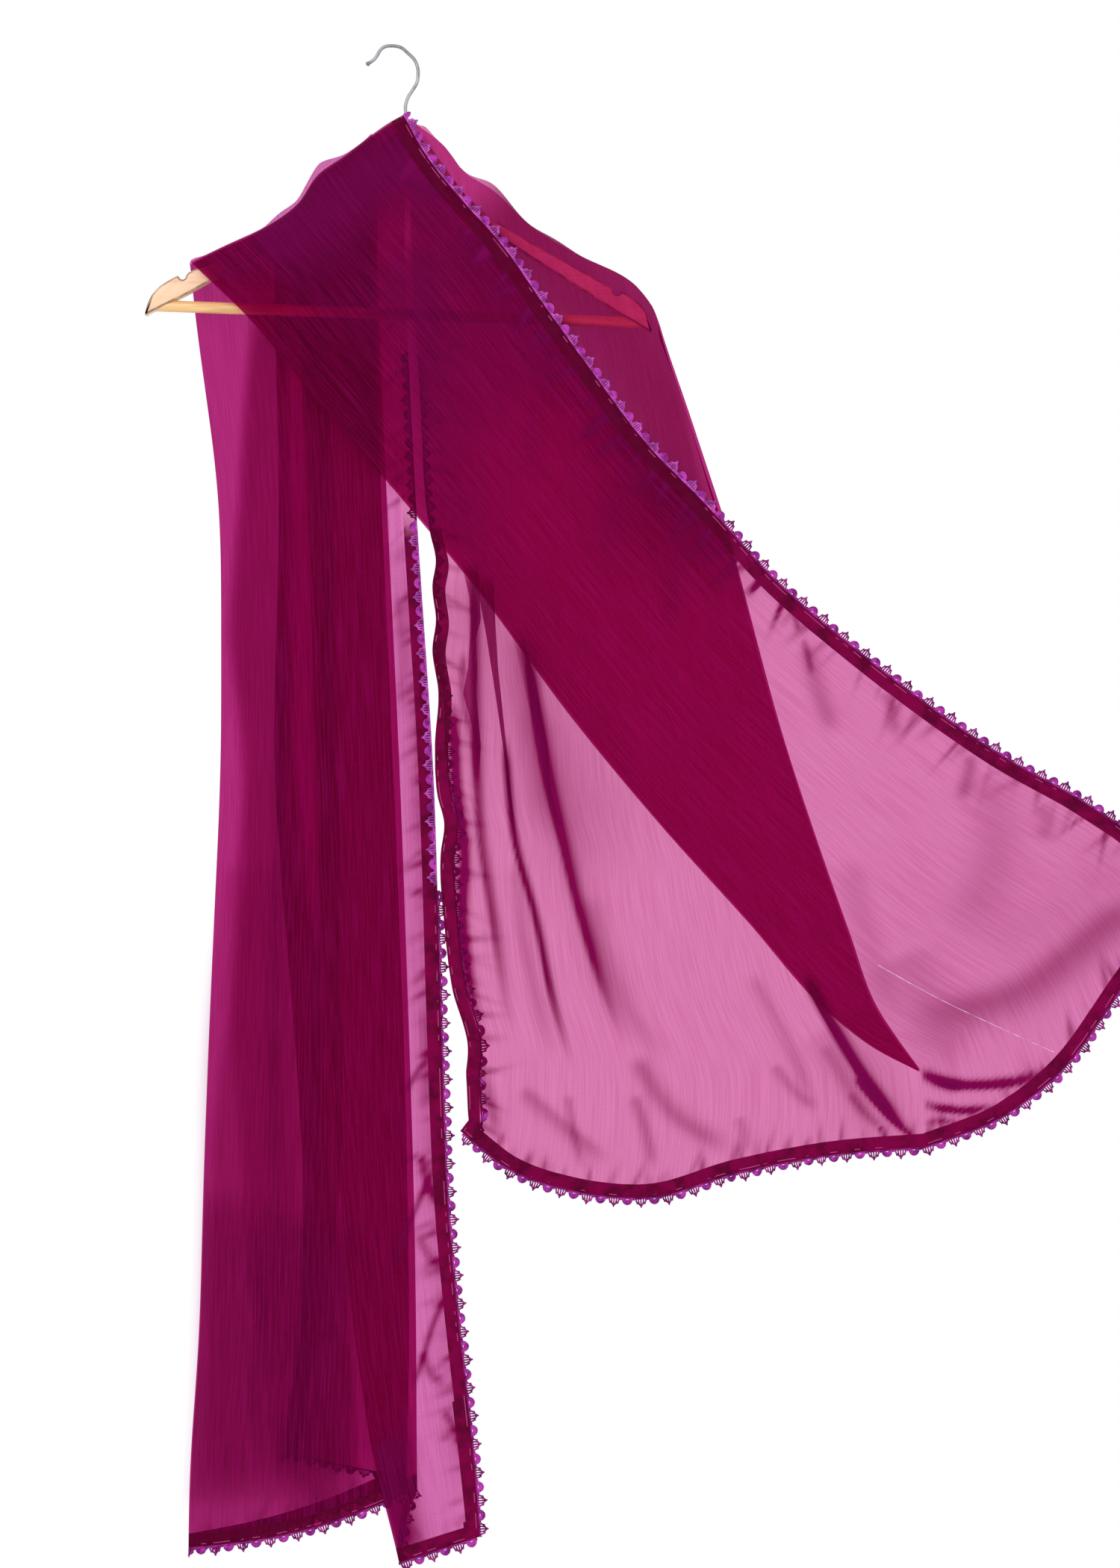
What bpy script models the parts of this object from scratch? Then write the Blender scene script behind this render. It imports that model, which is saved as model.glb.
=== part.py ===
"""Dupatta stole in sheer crinkled chiffon with a lace edging, hung over a wooden hanger.

Metres, +Z up, +Y to the back. The origin is the inside top of the hanger's hook. The sizes below are
millimetres and are turned to metres as each mesh is made.
"""

import math

import bmesh
import bpy
import numpy as np
from mathutils import Matrix

MM = 0.001

# Cloth, hem and lace
WALL = 1.2
HEM_WALL = 2.0
HEM_DEPTH = 12.0
HEM_RAMP = 2.0
SEAM_GAP = 0.3
LACE_WALL = 1.0
LACE_VALLEY = 5.0
LACE_PEAK = 8.0
LACE_PITCH = 12.0
LACE_STEP = 6.0

# Wooden hanger, measured from the middle of the line between its two tips
HANGER_CENTRE = (5.8, -239.4)
HANGER_TILT = 2.0
ARM_THICK = 12.0
ARM_EDGE_ROUND = 1.8
BAR_RADIUS = 5.0
BAR_HEIGHT = 8.4
BAR_HALF_LENGTH = 213.0
HOOK_WIRE_RADIUS = 1.5
HOOK_TIP_SWELL = 1.5
STEM_CLEARANCE = 0.4
STEM_TOP = 180.0
STEM_FOOT = 150.0

# Top of one arm, from the neck to the tip, with the strap notch: out, up
ARM_TOP = [
    (0, 166), (11, 163), (24, 151), (38, 133), (54, 113), (76, 94), (120, 70), (183, 37.5),
    (185.5, 32.5), (189.5, 31.5), (192, 34.5), (203, 28), (211, 21), (217, 11), (219.5, 0),
]
# Underside of one arm, from the tip back to the neck: out, up
ARM_UNDER = [(90, 74.3), (42, 106), (0, 120)]

# Wire of the hook from its open end to the stem, in the part's frame: right, up
HOOK_ROUTE = [
    (-20.1, -13.6), (-15.5, -10.4), (-12.9, -7.1), (-10.4, -2.6), (-6.5, 0.6), (0, 1.5), (7.8, 0),
    (14.2, -5.2), (20.1, -11.6), (22.6, -19.4), (22.6, -25.2), (21.4, -31.1), (17.5, -37.5),
    (13.6, -44), (11.8, -50.5),
]

# Edges and folds of the right fall, from the hanger down: right, up
FRONT_EDGE = [
    (9.7, -58.9), (30, -95), (62, -135), (95, -172), (133, -226), (172, -280), (219, -342),
    (272, -396), (334, -464), (400, -521), (466, -572), (531, -616), (596, -652), (634, -676),
]
FRONT_EDGE_CORNER = [(634, -676), (668, -703), (689, -735)]
FRONT_FOLD = [
    (-174, -185.7), (-155, -204), (-129, -229), (-71, -299), (-5, -375), (70, -465), (159, -585),
    (233, -674), (307, -756), (381, -839), (416, -866), (458, -888),
]
BACK_FOLD = [
    (231.6, -250.4), (254, -314), (276, -386), (290, -430), (342, -606), (397, -767), (421, -832),
    (438, -859), (458, -888),
]
FOLD_END = [(458, -888), (462, -920), (463, -953)]
BACK_EDGE = [
    (16, -61), (16, -143), (24, -300), (33, -420), (38, -445), (35, -465), (38, -497), (35, -520),
    (40, -558), (37, -606), (39, -647), (45, -673), (42, -697), (45, -763), (51, -815), (64, -872),
    (62, -890),
]
BACK_EDGE_CORNER = [(62, -890), (61, -915), (59, -939)]
TOP_LEFT = [
    (9.7, -58.9), (-4, -66), (-14, -73), (-41.4, -94), (-64, -110), (-81.5, -135), (-110.6, -156),
    (-143.6, -171), (-174, -185.7),
]
TOP_RIGHT = [
    (231.6, -250.4), (229, -232), (214, -209), (158, -177.5), (121, -155), (87, -123), (63, -108),
    (45, -85), (21, -66), (16, -61),
]
END_HEM_RIGHT = [(689, -735), (634, -812), (573, -892), (525, -928), (463, -953)]
END_HEM_LEFT = [
    (463, -953), (372, -961), (297, -975), (223, -996), (157, -991), (105, -974), (59, -939),
]

# Depth of the three layers of the right fall, in front of and behind the hanger, then hanging free
LAYER_STEP = 3.0
MIDDLE_AT_HANGER = -10.0
MIDDLE_FREE = 0.0
BACK_AT_HANGER = 9.0
HANGER_CLEAR_Z = -262.0
HANGING_FREE_Z = -430.0
MIDDLE_LENGTH = 0.92
DRIFT_DEPTH = 5.0
DRIFT_ACROSS = 330.0
DRIFT_DOWN = 900.0
DRIFT_LAG = 150.0
FOLD_INSETS = (2.2, 0.5, 0.0)
FOLD_TURNS = (0.0, 0.28, 1.0)
FOLD_FADE = 0.9
FOLD_SLACK = 0.12
SEAM_HALF = 0.6
UNDER_TOP = 4.5
NECK_OPENING = 2.6
NECK_OPENING_WIDTH = 9.0
NECK_X = 11.8

# Largest folds of the right fall: layer, start right, start up, end right, end up, depth, width
SWING_FOLDS = [
    ("back", 70, -465, 103, -863, 6, 11),
    ("back", 87, -488, 157, -888, 10, 10),
    ("back", 120, -534, 208, -872, 8, 12),
    ("back", 208, -872, 299, -959, 6, 12),
    ("back", 359, -815, 458, -945, 6, 13),
    ("front", 617, -759, 510, -826, -7, 18),
    ("front", 470, -640, 430, -760, -4, 20),
]

# Folds of the left fall as hung: up, then right of the front edge, the two front pleats, the outer
# fold, the two inner folds and the inner edge
LEFT_SECTIONS = [
    (-190, 10, -84, -14, -178, -18, -104, -60),
    (-391, 20, -73, -5, -150, -10, -99, -52),
    (-625, 36, -67, 6, -149, 0, -105, -48),
    (-878, 43, -55, 15, -161, 10, -84, -44),
    (-1003, 47, -44, 19, -166, 13, -76, -45),
    (-1130, 60, -32, 21, -169, 15, -84, -66),
    (-1229, 72, -16, 21, -178, 12, -98, -84),
]
LEFT_SECTION_COLUMNS = 7
# Layers of the left fall from front to back: depth, how far its top lies under the outline
LEFT_LAYERS = [(8.5, 10.0), (11.3, 7.0), (14.1, 3.5), (16.9, 0.0), (19.7, 3.0), (22.5, 6.0)]
# Height of the end hem at the front edge, each fold in turn and the inner edge
LEFT_END = (-1291, -1314, -1250, -1303, -1242, -1222, -1198)
LEFT_TOP_DEPTH = 16.9
LAYER_MIDDLES = 4
FOLD_ANGLES = (-45, 0, 45)
TURNED_LACE_END = -729.0

# Rows down each fall, as shares of its length, close together over the arm
TOP_ROWS = (0.0, 0.004, 0.012, 0.028)
SWING_ROWS = 13
SINGLE_ROWS = (0.35, 0.7)
DOUBLED_SHARE = 0.9
TOP_FADE = 3
END_FADE = 12
LEFT_ROWS = 17
FRONT_COLUMNS = 9
BACK_COLUMNS = 17
MIDDLE_COLUMNS = 17

# Linear base colour, roughness, metallic
CHIFFON = ((0.25, 0.002, 0.055), 0.6, 0.0)
LACE = ((0.32, 0.025, 0.32), 0.7, 0.0)
PALE_WOOD = ((0.82, 0.56, 0.32), 0.5, 0.0)
CHROME = ((0.72, 0.73, 0.75), 0.15, 1.0)


def clear_scene():
    for old in list(bpy.data.objects):
        bpy.data.objects.remove(old, do_unlink=True)


def new_collection(name):
    collection = bpy.data.collections.new(name)
    bpy.context.scene.collection.children.link(collection)
    return collection


def new_material(name, finish):
    colour, roughness, metallic = finish
    material = bpy.data.materials.new(name)
    material.use_nodes = True
    shader = material.node_tree.nodes["Principled BSDF"]
    shader.inputs["Base Color"].default_value = (*colour, 1.0)
    shader.inputs["Roughness"].default_value = roughness
    shader.inputs["Metallic"].default_value = metallic
    return material


def smooth_path(stops, shares):
    """Points at these shares of the length of a smooth curve through the stops."""
    stops = np.array(stops, float)
    shares = np.atleast_1d(np.asarray(shares, float))
    steps = np.linalg.norm(np.diff(stops, axis=0), axis=1)
    reach = np.concatenate([[0.0], np.cumsum(steps)])
    slopes = np.gradient(stops, reach, axis=0)
    at = shares * reach[-1]
    leg = np.clip(np.searchsorted(reach, at, side="right") - 1, 0, len(steps) - 1)
    part = ((at - reach[leg]) / steps[leg])[:, None]
    width = steps[leg][:, None]
    near = (1 + 2 * part) * (1 - part) ** 2 * stops[leg]
    far = part**2 * (3 - 2 * part) * stops[leg + 1]
    lean = part * (1 - part) ** 2 * slopes[leg] - part**2 * (1 - part) * slopes[leg + 1]
    return near + far + lean * width


def ease(value, start, end):
    """0 at start, 1 at end, smooth between."""
    share = np.clip((value - start) / (end - start), 0, 1)
    return share * share * (3 - 2 * share)


def drift(x, z):
    """Soft wave, front to back, that all the hanging cloth shares, so its layers never meet."""
    free = ease(z, HANGER_CLEAR_Z, HANGING_FREE_Z - DRIFT_LAG)
    return free * DRIFT_DEPTH * np.sin(2 * math.pi * (x / DRIFT_ACROSS + z / DRIFT_DOWN))


def over_arm(depth, below_top, radius):
    """Depth of a layer that rolls over the arm: at the seam on top, at its own depth once below."""
    rise = np.clip(1 - below_top / radius, 0, 1)
    return depth * np.sqrt(1 - rise**2)


def seam_at(x):
    """Half the seam on top of the arms, opened round the hook's stem."""
    return SEAM_HALF + NECK_OPENING * np.exp(-(((x - NECK_X) / NECK_OPENING_WIDTH) ** 2))


def fold_depth(layer, x, z):
    """Depth that the largest folds add to one layer of the right fall."""
    total = np.zeros_like(x)
    for name, x0, z0, x1, z1, depth, width in SWING_FOLDS:
        if name != layer:
            continue
        length = math.hypot(x1 - x0, z1 - z0)
        along = ((x - x0) * (x1 - x0) + (z - z0) * (z1 - z0)) / length
        aside = ((x - x0) * (z1 - z0) - (z - z0) * (x1 - x0)) / length
        past = np.clip(np.maximum(-along, along - length), 0, None)
        total = total + depth * np.exp(-((aside / width) ** 2) - (past / (2 * width)) ** 2)
    return total


def clear_of_fold(columns):
    """1 over most of a layer, easing to 0 where it turns into the next."""
    return 1 - ease(columns, FOLD_FADE, 1.0)


def middle_depth(z):
    return MIDDLE_AT_HANGER + (MIDDLE_FREE - MIDDLE_AT_HANGER) * ease(z, HANGER_CLEAR_Z, HANGING_FREE_Z)


def back_step(z):
    """Distance from the middle layer back to the back layer."""
    at_hanger = BACK_AT_HANGER - MIDDLE_AT_HANGER
    return at_hanger + (LAYER_STEP - at_hanger) * ease(z, HANGER_CLEAR_Z, HANGING_FREE_Z)


def patch(side_a, side_b, top, end, columns, levels):
    """Grid between two sides, with its first and last rows on the top and end curves."""
    level = np.asarray(levels)[:, None, None]
    across = np.asarray(columns)[:, :, None]
    grid = side_a[:, None, :] * (1 - across) + side_b[:, None, :] * across
    off_top = smooth_path(top, columns[0]) - grid[0]
    grid = grid + off_top[None] * (1 - level) ** TOP_FADE
    if end is not None:
        off_end = smooth_path(end, columns[-1]) - grid[-1]
        grid = grid + off_end[None] * level**END_FADE
    return grid


def swing_shares():
    """Shares of the doubled stretch, then of the single stretch below where the folds meet."""
    doubled = np.concatenate([TOP_ROWS, np.linspace(0.07, 1, SWING_ROWS)])
    hem_start = 1 - HEM_DEPTH / np.linalg.norm(np.subtract(FOLD_END[-1], FOLD_END[0]))
    single = np.array([*SINGLE_ROWS, hem_start, 1.0])
    return doubled, single


def row_levels():
    """How far down the whole fall each row lies."""
    doubled, single = swing_shares()
    return np.concatenate([doubled * DOUBLED_SHARE, DOUBLED_SHARE + single * (1 - DOUBLED_SHARE)])


def whole_side(doubled_stops, single_stops):
    doubled, single = swing_shares()
    return np.vstack([smooth_path(doubled_stops, doubled), smooth_path(single_stops, single)])


def column_shares(side_a, side_b, hemmed, count):
    """Shares across each row: a hem at side_a when hemmed, even steps, then the turn of the fold."""
    shares = []
    for a, b in zip(side_a, side_b):
        width = np.linalg.norm(b - a)
        start = [0.0, HEM_DEPTH / width] if hemmed else [0.0]
        first = (HEM_DEPTH + HEM_RAMP) / width if hemmed else 1 / count
        even = np.linspace(first, 1 - FOLD_INSETS[0] / width, count)
        turn = [1 - inset / width for inset in FOLD_INSETS[1:]]
        shares.append(np.concatenate([start, even, turn]))
    return np.array(shares)


def closing(rows_doubled, rows_all):
    """1 while the folds are apart, easing to 0 where they meet and below."""
    doubled, _ = swing_shares()
    share = np.ones(rows_all)
    share[:rows_doubled] = 1 - ease(doubled, MIDDLE_LENGTH, 1.0)
    share[rows_doubled:] = 0
    return share[:, None]


def fold_turn(columns):
    """How far each column has turned towards the next layer."""
    turn = np.zeros(columns)
    turn[-len(FOLD_TURNS) :] = FOLD_TURNS
    return turn[None, :]


def lift(grid, depth):
    """Points in the part's frame from right and up, with the depth."""
    return np.stack([grid[..., 0], depth, grid[..., 1]], axis=-1)


def turn_reach(step):
    """How far a fold reaches back to the next layer, short of its wall by a seam."""
    return step * (1 - FOLD_SLACK) - WALL / 2 - SEAM_GAP


def front_layer():
    side_a = whole_side(FRONT_EDGE, FRONT_EDGE_CORNER)
    side_b = whole_side(FRONT_FOLD, FOLD_END)
    columns = column_shares(side_a, side_b, True, FRONT_COLUMNS)
    grid = patch(side_a, side_b, TOP_LEFT, END_HEM_RIGHT, columns, row_levels())
    x, z = grid[..., 0], grid[..., 1]
    shut = closing(len(swing_shares()[0]), len(grid))
    below = np.linalg.norm(grid - grid[:1], axis=-1)
    far = -(middle_depth(z) - LAYER_STEP * shut)
    depth = -np.maximum(seam_at(x), over_arm(far, below, LAYER_STEP - MIDDLE_AT_HANGER)) * (z > HANGER_CLEAR_Z)
    depth = np.where(z > HANGER_CLEAR_Z, depth, -far)
    turn = turn_reach(LAYER_STEP) * shut * fold_turn(grid.shape[1])
    turn = turn * ease(below, 2.0, 20.0)
    return lift(grid, depth + turn + drift(x, z) + fold_depth("front", x, z) * clear_of_fold(columns))


def back_layer():
    side_a = whole_side(BACK_EDGE, BACK_EDGE_CORNER)
    side_b = whole_side(BACK_FOLD, FOLD_END)
    columns = column_shares(side_a, side_b, True, BACK_COLUMNS)
    grid = patch(side_a, side_b, TOP_RIGHT[::-1], END_HEM_LEFT[::-1], columns, row_levels())
    x, z = grid[..., 0], grid[..., 1]
    shut = closing(len(swing_shares()[0]), len(grid))
    below = np.linalg.norm(grid - grid[:1], axis=-1)
    far = middle_depth(z) + back_step(z) * shut
    rolled = np.maximum(seam_at(x), over_arm(far, below, BACK_AT_HANGER))
    depth = np.where(z > HANGER_CLEAR_Z, rolled, far)
    turn = -turn_reach(back_step(z)) * shut * fold_turn(grid.shape[1])
    turn = turn * ease(below, 2.0, 20.0)
    return lift(grid, depth + turn + drift(x, z) + fold_depth("back", x, z) * clear_of_fold(columns))


def middle_layer():
    doubled, _ = swing_shares()
    shares = doubled * MIDDLE_LENGTH
    side_a = smooth_path(FRONT_FOLD, shares)
    side_b = smooth_path(BACK_FOLD, shares)
    columns = np.tile(np.linspace(0, 1, MIDDLE_COLUMNS), (len(shares), 1))
    top = np.array(TOP_LEFT[::-1] + TOP_RIGHT[-2::-1], float)
    top[:, 1] -= UNDER_TOP * ease(-top[:, 0], -40, -10)
    grid = patch(side_a, side_b, top, None, columns, shares * DOUBLED_SHARE)
    x, z = grid[..., 0], grid[..., 1]
    below = np.linalg.norm(grid - grid[:1], axis=-1)
    far = -middle_depth(z)
    rolled = -np.maximum(seam_at(x), over_arm(far, below, -MIDDLE_AT_HANGER))
    depth = np.where(z > HANGER_CLEAR_Z, rolled, -far)
    return lift(grid, depth + drift(x, z))


def left_stops(z):
    """Where the front edge, each fold and the inner edge lie at a height."""
    table = np.array(LEFT_SECTIONS, float)
    order = np.argsort(table[:, 0])
    heights = table[order, 0]
    columns = [np.interp(z, heights, table[order, k + 1]) for k in range(LEFT_SECTION_COLUMNS)]
    return np.array(columns)


def left_columns():
    """Each column as its layer, its share across that layer, and its turn at a fold, if any."""
    columns = []
    last = len(LEFT_LAYERS) - 1
    for layer in range(last + 1):
        for share in np.linspace(0, 1, LAYER_MIDDLES + 2):
            columns.append((layer, share, None))
        if layer < last:
            for angle in FOLD_ANGLES:
                columns.append((layer, 1.0, math.radians(angle)))
    return columns


def left_point(column, z, stops):
    """Right and depth of one column at a height."""
    layer, share, angle = column
    start, end = stops[layer], stops[layer + 1]
    heading = 1.0 if end > start else -1.0
    depth = LEFT_LAYERS[layer][0]
    if angle is not None:
        radius = (LEFT_LAYERS[layer + 1][0] - depth) / 2
        return end - heading * radius * (1 - math.cos(angle)), depth + radius * (1 + math.sin(angle))
    radius = LAYER_STEP / 2
    inset_start = radius if layer > 0 else 0.0
    inset_end = radius if layer < len(LEFT_LAYERS) - 1 else 0.0
    first, final = start + heading * inset_start, end - heading * inset_end
    return first + (final - first) * share, depth


def left_drop(column):
    """How far the column's top lies under the outline."""
    layer, share, angle = column
    here = LEFT_LAYERS[layer][1]
    if angle is None:
        return here
    following = LEFT_LAYERS[layer + 1][1]
    return here + (following - here) * (0.5 + 0.5 * math.sin(angle))


def left_layers():
    columns = left_columns()
    top_x, top_z = np.array(TOP_LEFT[::-1]).T
    shares = np.concatenate([TOP_ROWS, np.linspace(0.06, 1, LEFT_ROWS)])
    ends = np.array(LEFT_END, float)
    grid = np.zeros((len(shares) + 1, len(columns), 3))
    for k, column in enumerate(columns):
        layer, share, angle = column
        across = share if angle is None else 1.0
        first_x, _ = left_point(column, LEFT_SECTIONS[0][0], left_stops(LEFT_SECTIONS[0][0]))
        outline = np.interp(first_x, top_x, top_z)
        start = outline - left_drop(column)
        end = ends[layer] + (ends[layer + 1] - ends[layer]) * across
        heights = start + (end - start) * shares
        heights = np.append(heights[:-1], [end + HEM_DEPTH, end])
        for row, z in enumerate(heights):
            x, depth = left_point(column, z, left_stops(z))
            bent = over_arm(LEFT_TOP_DEPTH - SEAM_HALF, outline - z, LEFT_TOP_DEPTH)
            lean = LEFT_TOP_DEPTH - SEAM_HALF - bent
            grid[row, k] = (x, depth - lean + drift(x, z), z)
    return grid


def add_mesh(name, points, faces, material, collection):
    mesh = bpy.data.meshes.new(name)
    mesh.from_pydata([tuple(p * MM) for p in points], [], faces)
    mesh.materials.append(material)
    part = bpy.data.objects.new(name, mesh)
    collection.objects.link(part)
    return part


def grid_faces(rows, columns, start=0, flip=False):
    faces = []
    for r in range(rows - 1):
        for c in range(columns - 1):
            a = start + r * columns + c
            face = (a, a + 1, a + columns + 1, a + columns)
            faces.append(face[::-1] if flip else face)
    return faces


def thicken(part, wall, thin_share=None, thick=None):
    """Solidify about the middle, thinner outside the hem where one is given."""
    solid = part.modifiers.new("wall", "SOLIDIFY")
    solid.thickness = wall * MM
    solid.offset = 0.0
    if thick is not None:
        group = part.vertex_groups.new(name="hem")
        group.add(thick, 1.0, "REPLACE")
        solid.vertex_group = group.name
        solid.thickness_vertex_group = thin_share
    part.data.shade_smooth()
    return part


def right_fall(material, collection):
    """Front and back layers, apart above where the folds meet and one sheet below."""
    front, back = front_layer(), back_layer()
    rows, front_columns = front.shape[:2]
    back_columns = back.shape[1]
    points = np.vstack([front.reshape(-1, 3), back.reshape(-1, 3)])
    faces = grid_faces(rows, front_columns)
    faces += grid_faces(rows, back_columns, start=rows * front_columns, flip=True)
    part = add_mesh("fall_right", points, faces, material, collection)
    join = bmesh.new()
    join.from_mesh(part.data)
    bmesh.ops.remove_doubles(join, verts=join.verts, dist=0.00005)
    join.to_mesh(part.data)
    join.free()
    hem = []
    for sheet in (front, back):
        edge = sheet[:, :2].reshape(-1, 3)
        end = sheet[-2:, :].reshape(-1, 3)
        hem.append(np.vstack([edge, end]))
    hem = np.vstack(hem) * MM
    spots = {tuple(np.round(p, 5)) for p in hem}
    thick = [v.index for v in part.data.vertices if tuple(np.round(np.array(v.co), 5)) in spots]
    return thicken(part, HEM_WALL, WALL / HEM_WALL, thick), front, back


def middle_fold(material, collection):
    grid = middle_layer()
    faces = grid_faces(*grid.shape[:2])
    part = add_mesh("fall_right_middle", grid.reshape(-1, 3), faces, material, collection)
    return thicken(part, WALL)


def left_fall(material, collection):
    grid = left_layers()
    rows, columns = grid.shape[:2]
    part = add_mesh("fall_left", grid.reshape(-1, 3), grid_faces(rows, columns), material, collection)
    thick = list(range((rows - 2) * columns, rows * columns))
    return thicken(part, HEM_WALL, WALL / HEM_WALL, thick), grid


def finer(edge, inner):
    """Both lines with more points, so no step is much over the lace's own."""
    lines = []
    for k in range(len(edge) - 1):
        gap = np.linalg.norm(edge[k + 1] - edge[k])
        count = max(1, round(gap / LACE_STEP))
        for share in np.arange(count) / count:
            lines.append((edge[k] + (edge[k + 1] - edge[k]) * share, inner[k] + (inner[k + 1] - inner[k]) * share))
    lines.append((edge[-1], inner[-1]))
    return np.array([line[0] for line in lines]), np.array([line[1] for line in lines])


def lace(name, edge, inner, material, collection, turned=0.0):
    """Scalloped strip along an edge, or lying turned in on the hem at this depth from the cloth."""
    edge, inner = finer(edge, inner)
    along = np.gradient(edge, axis=0)
    along /= np.linalg.norm(along, axis=1)[:, None]
    out = edge - inner
    out -= (out * along).sum(axis=1)[:, None] * along
    out /= np.linalg.norm(out, axis=1)[:, None]
    reach = np.concatenate([[0], np.cumsum(np.linalg.norm(np.diff(edge, axis=0), axis=1))])
    scallop = np.abs(np.sin(math.pi * reach / LACE_PITCH))
    depth = LACE_VALLEY + (LACE_PEAK - LACE_VALLEY) * scallop
    if turned:
        root = edge + np.array([0, turned, 0])
        tip = root - out * depth[:, None]
    else:
        root = edge + out * SEAM_GAP
        tip = edge + out * depth[:, None]
    points = np.stack([root, tip], axis=1).reshape(-1, 3)
    faces = grid_faces(len(edge), 2)
    return thicken(add_mesh(name, points, faces, material, collection), LACE_WALL)


def lace_edging(front, back, left, material, collection):
    turned = HEM_WALL / 2 + SEAM_GAP + LACE_WALL / 2
    lace("lace_front_edge", front[:, 0], front[:, 1], material, collection)
    end = np.vstack([front[-1, :-1], back[-1, ::-1]])
    end_inner = np.vstack([front[-2, :-1], back[-2, ::-1]])
    lace("lace_right_end", end[1:-1], end_inner[1:-1], material, collection)
    hanging = back[:, 0, 2] < HANGER_CLEAR_Z
    lace("lace_back_edge", back[hanging, 0], back[hanging, 1], material, collection, turned)
    upper = (left[:, 0, 2] > TURNED_LACE_END) & (left[:, 0, 2] < HANGER_CLEAR_Z)
    lace("lace_left_turned", left[upper, 0], left[upper, 1], material, collection, -turned)
    lower = left[:, 0, 2] <= TURNED_LACE_END
    lace("lace_left_edge", left[lower, 0], left[lower, 1], material, collection)
    lace("lace_left_end", left[-1, 1:-1], left[-2, 1:-1], material, collection)


def hanger_matrix():
    """Place of the hanger's own frame: its middle, with the right side hanging lower."""
    x, z = HANGER_CENTRE
    return Matrix.Translation((x * MM, 0, z * MM)) @ Matrix.Rotation(math.radians(HANGER_TILT), 4, "Y")


def cylinder(name, radius, low, high, axis, place, collection):
    """Round bar in the hanger's frame from low to high along X or Z."""
    bpy.ops.mesh.primitive_cylinder_add(vertices=20, radius=radius * MM, depth=(high - low) * MM)
    part = bpy.context.object
    part.name = name
    for other in list(part.users_collection):
        other.objects.unlink(part)
    collection.objects.link(part)
    middle = (low + high) / 2 * MM
    if axis == "X":
        local = Matrix.Translation((middle, 0, place * MM)) @ Matrix.Rotation(math.pi / 2, 4, "Y")
    else:
        local = Matrix.Translation((place * MM, 0, middle))
    part.matrix_world = hanger_matrix() @ local
    return part


def hanger_arm(name, side, material, collection, cutters):
    outline = ARM_TOP + ARM_UNDER
    curve = bpy.data.curves.new(name + "_outline", "CURVE")
    curve.dimensions = "2D"
    curve.fill_mode = "BOTH"
    curve.extrude = ARM_THICK / 2 * MM
    spline = curve.splines.new("POLY")
    spline.points.add(len(outline) - 1)
    for point, (out, up) in zip(spline.points, outline):
        point.co = (side * max(out, SEAM_GAP / 2) * MM, up * MM, 0, 1)
    spline.use_cyclic_u = True
    guide = bpy.data.objects.new(name + "_outline", curve)
    collection.objects.link(guide)
    guide.matrix_world = hanger_matrix() @ Matrix.Rotation(math.pi / 2, 4, "X")
    bpy.context.view_layer.update()
    mesh = bpy.data.meshes.new_from_object(guide.evaluated_get(bpy.context.evaluated_depsgraph_get()))
    welded = bmesh.new()
    welded.from_mesh(mesh)
    bmesh.ops.remove_doubles(welded, verts=welded.verts, dist=0.00001)
    bmesh.ops.dissolve_limit(welded, angle_limit=0.001, verts=welded.verts, edges=welded.edges)
    bmesh.ops.recalc_face_normals(welded, faces=welded.faces)
    welded.to_mesh(mesh)
    welded.free()
    mesh.materials.clear()
    mesh.materials.append(material)
    arm = bpy.data.objects.new(name, mesh)
    arm.matrix_world = guide.matrix_world.copy()
    collection.objects.link(arm)
    bpy.data.objects.remove(guide, do_unlink=True)
    bevel = arm.modifiers.new("rounded edge", "BEVEL")
    bevel.width = ARM_EDGE_ROUND * MM
    bevel.segments = 2
    bevel.limit_method = "ANGLE"
    bevel.angle_limit = math.radians(60)
    for cutter in cutters:
        hole = arm.modifiers.new(cutter.name, "BOOLEAN")
        hole.operation = "DIFFERENCE"
        hole.object = cutter
    return arm


def hook(material, collection):
    """Bent wire with a swollen tip, its stem running down into the neck."""
    place = hanger_matrix()
    stem = [place @ Matrix.Translation((0, 0, height * MM)) for height in (STEM_TOP, STEM_FOOT)]
    stem = [(spot.translation.x / MM, spot.translation.z / MM) for spot in stem]
    route = smooth_path(HOOK_ROUTE + stem, np.linspace(0, 1, 34))
    curve = bpy.data.curves.new("hanger_hook", "CURVE")
    curve.dimensions = "3D"
    curve.bevel_depth = HOOK_WIRE_RADIUS * MM
    curve.bevel_resolution = 2
    curve.use_fill_caps = True
    spline = curve.splines.new("POLY")
    heading = (route[0] - route[1]) / np.linalg.norm(route[0] - route[1])
    swell = [(route[0] + heading * step, size) for step, size in ((2.2, 0.7), (1.6, 1.2), (0.6, HOOK_TIP_SWELL))]
    wire = swell + [(spot, 1.0) for spot in route]
    spline.points.add(len(wire) - 1)
    for point, (spot, size) in zip(spline.points, wire):
        point.co = (spot[0] * MM, 0, spot[1] * MM, 1)
        point.radius = size
    curve.materials.append(material)
    part = bpy.data.objects.new("hanger_hook", curve)
    collection.objects.link(part)
    return part


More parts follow.
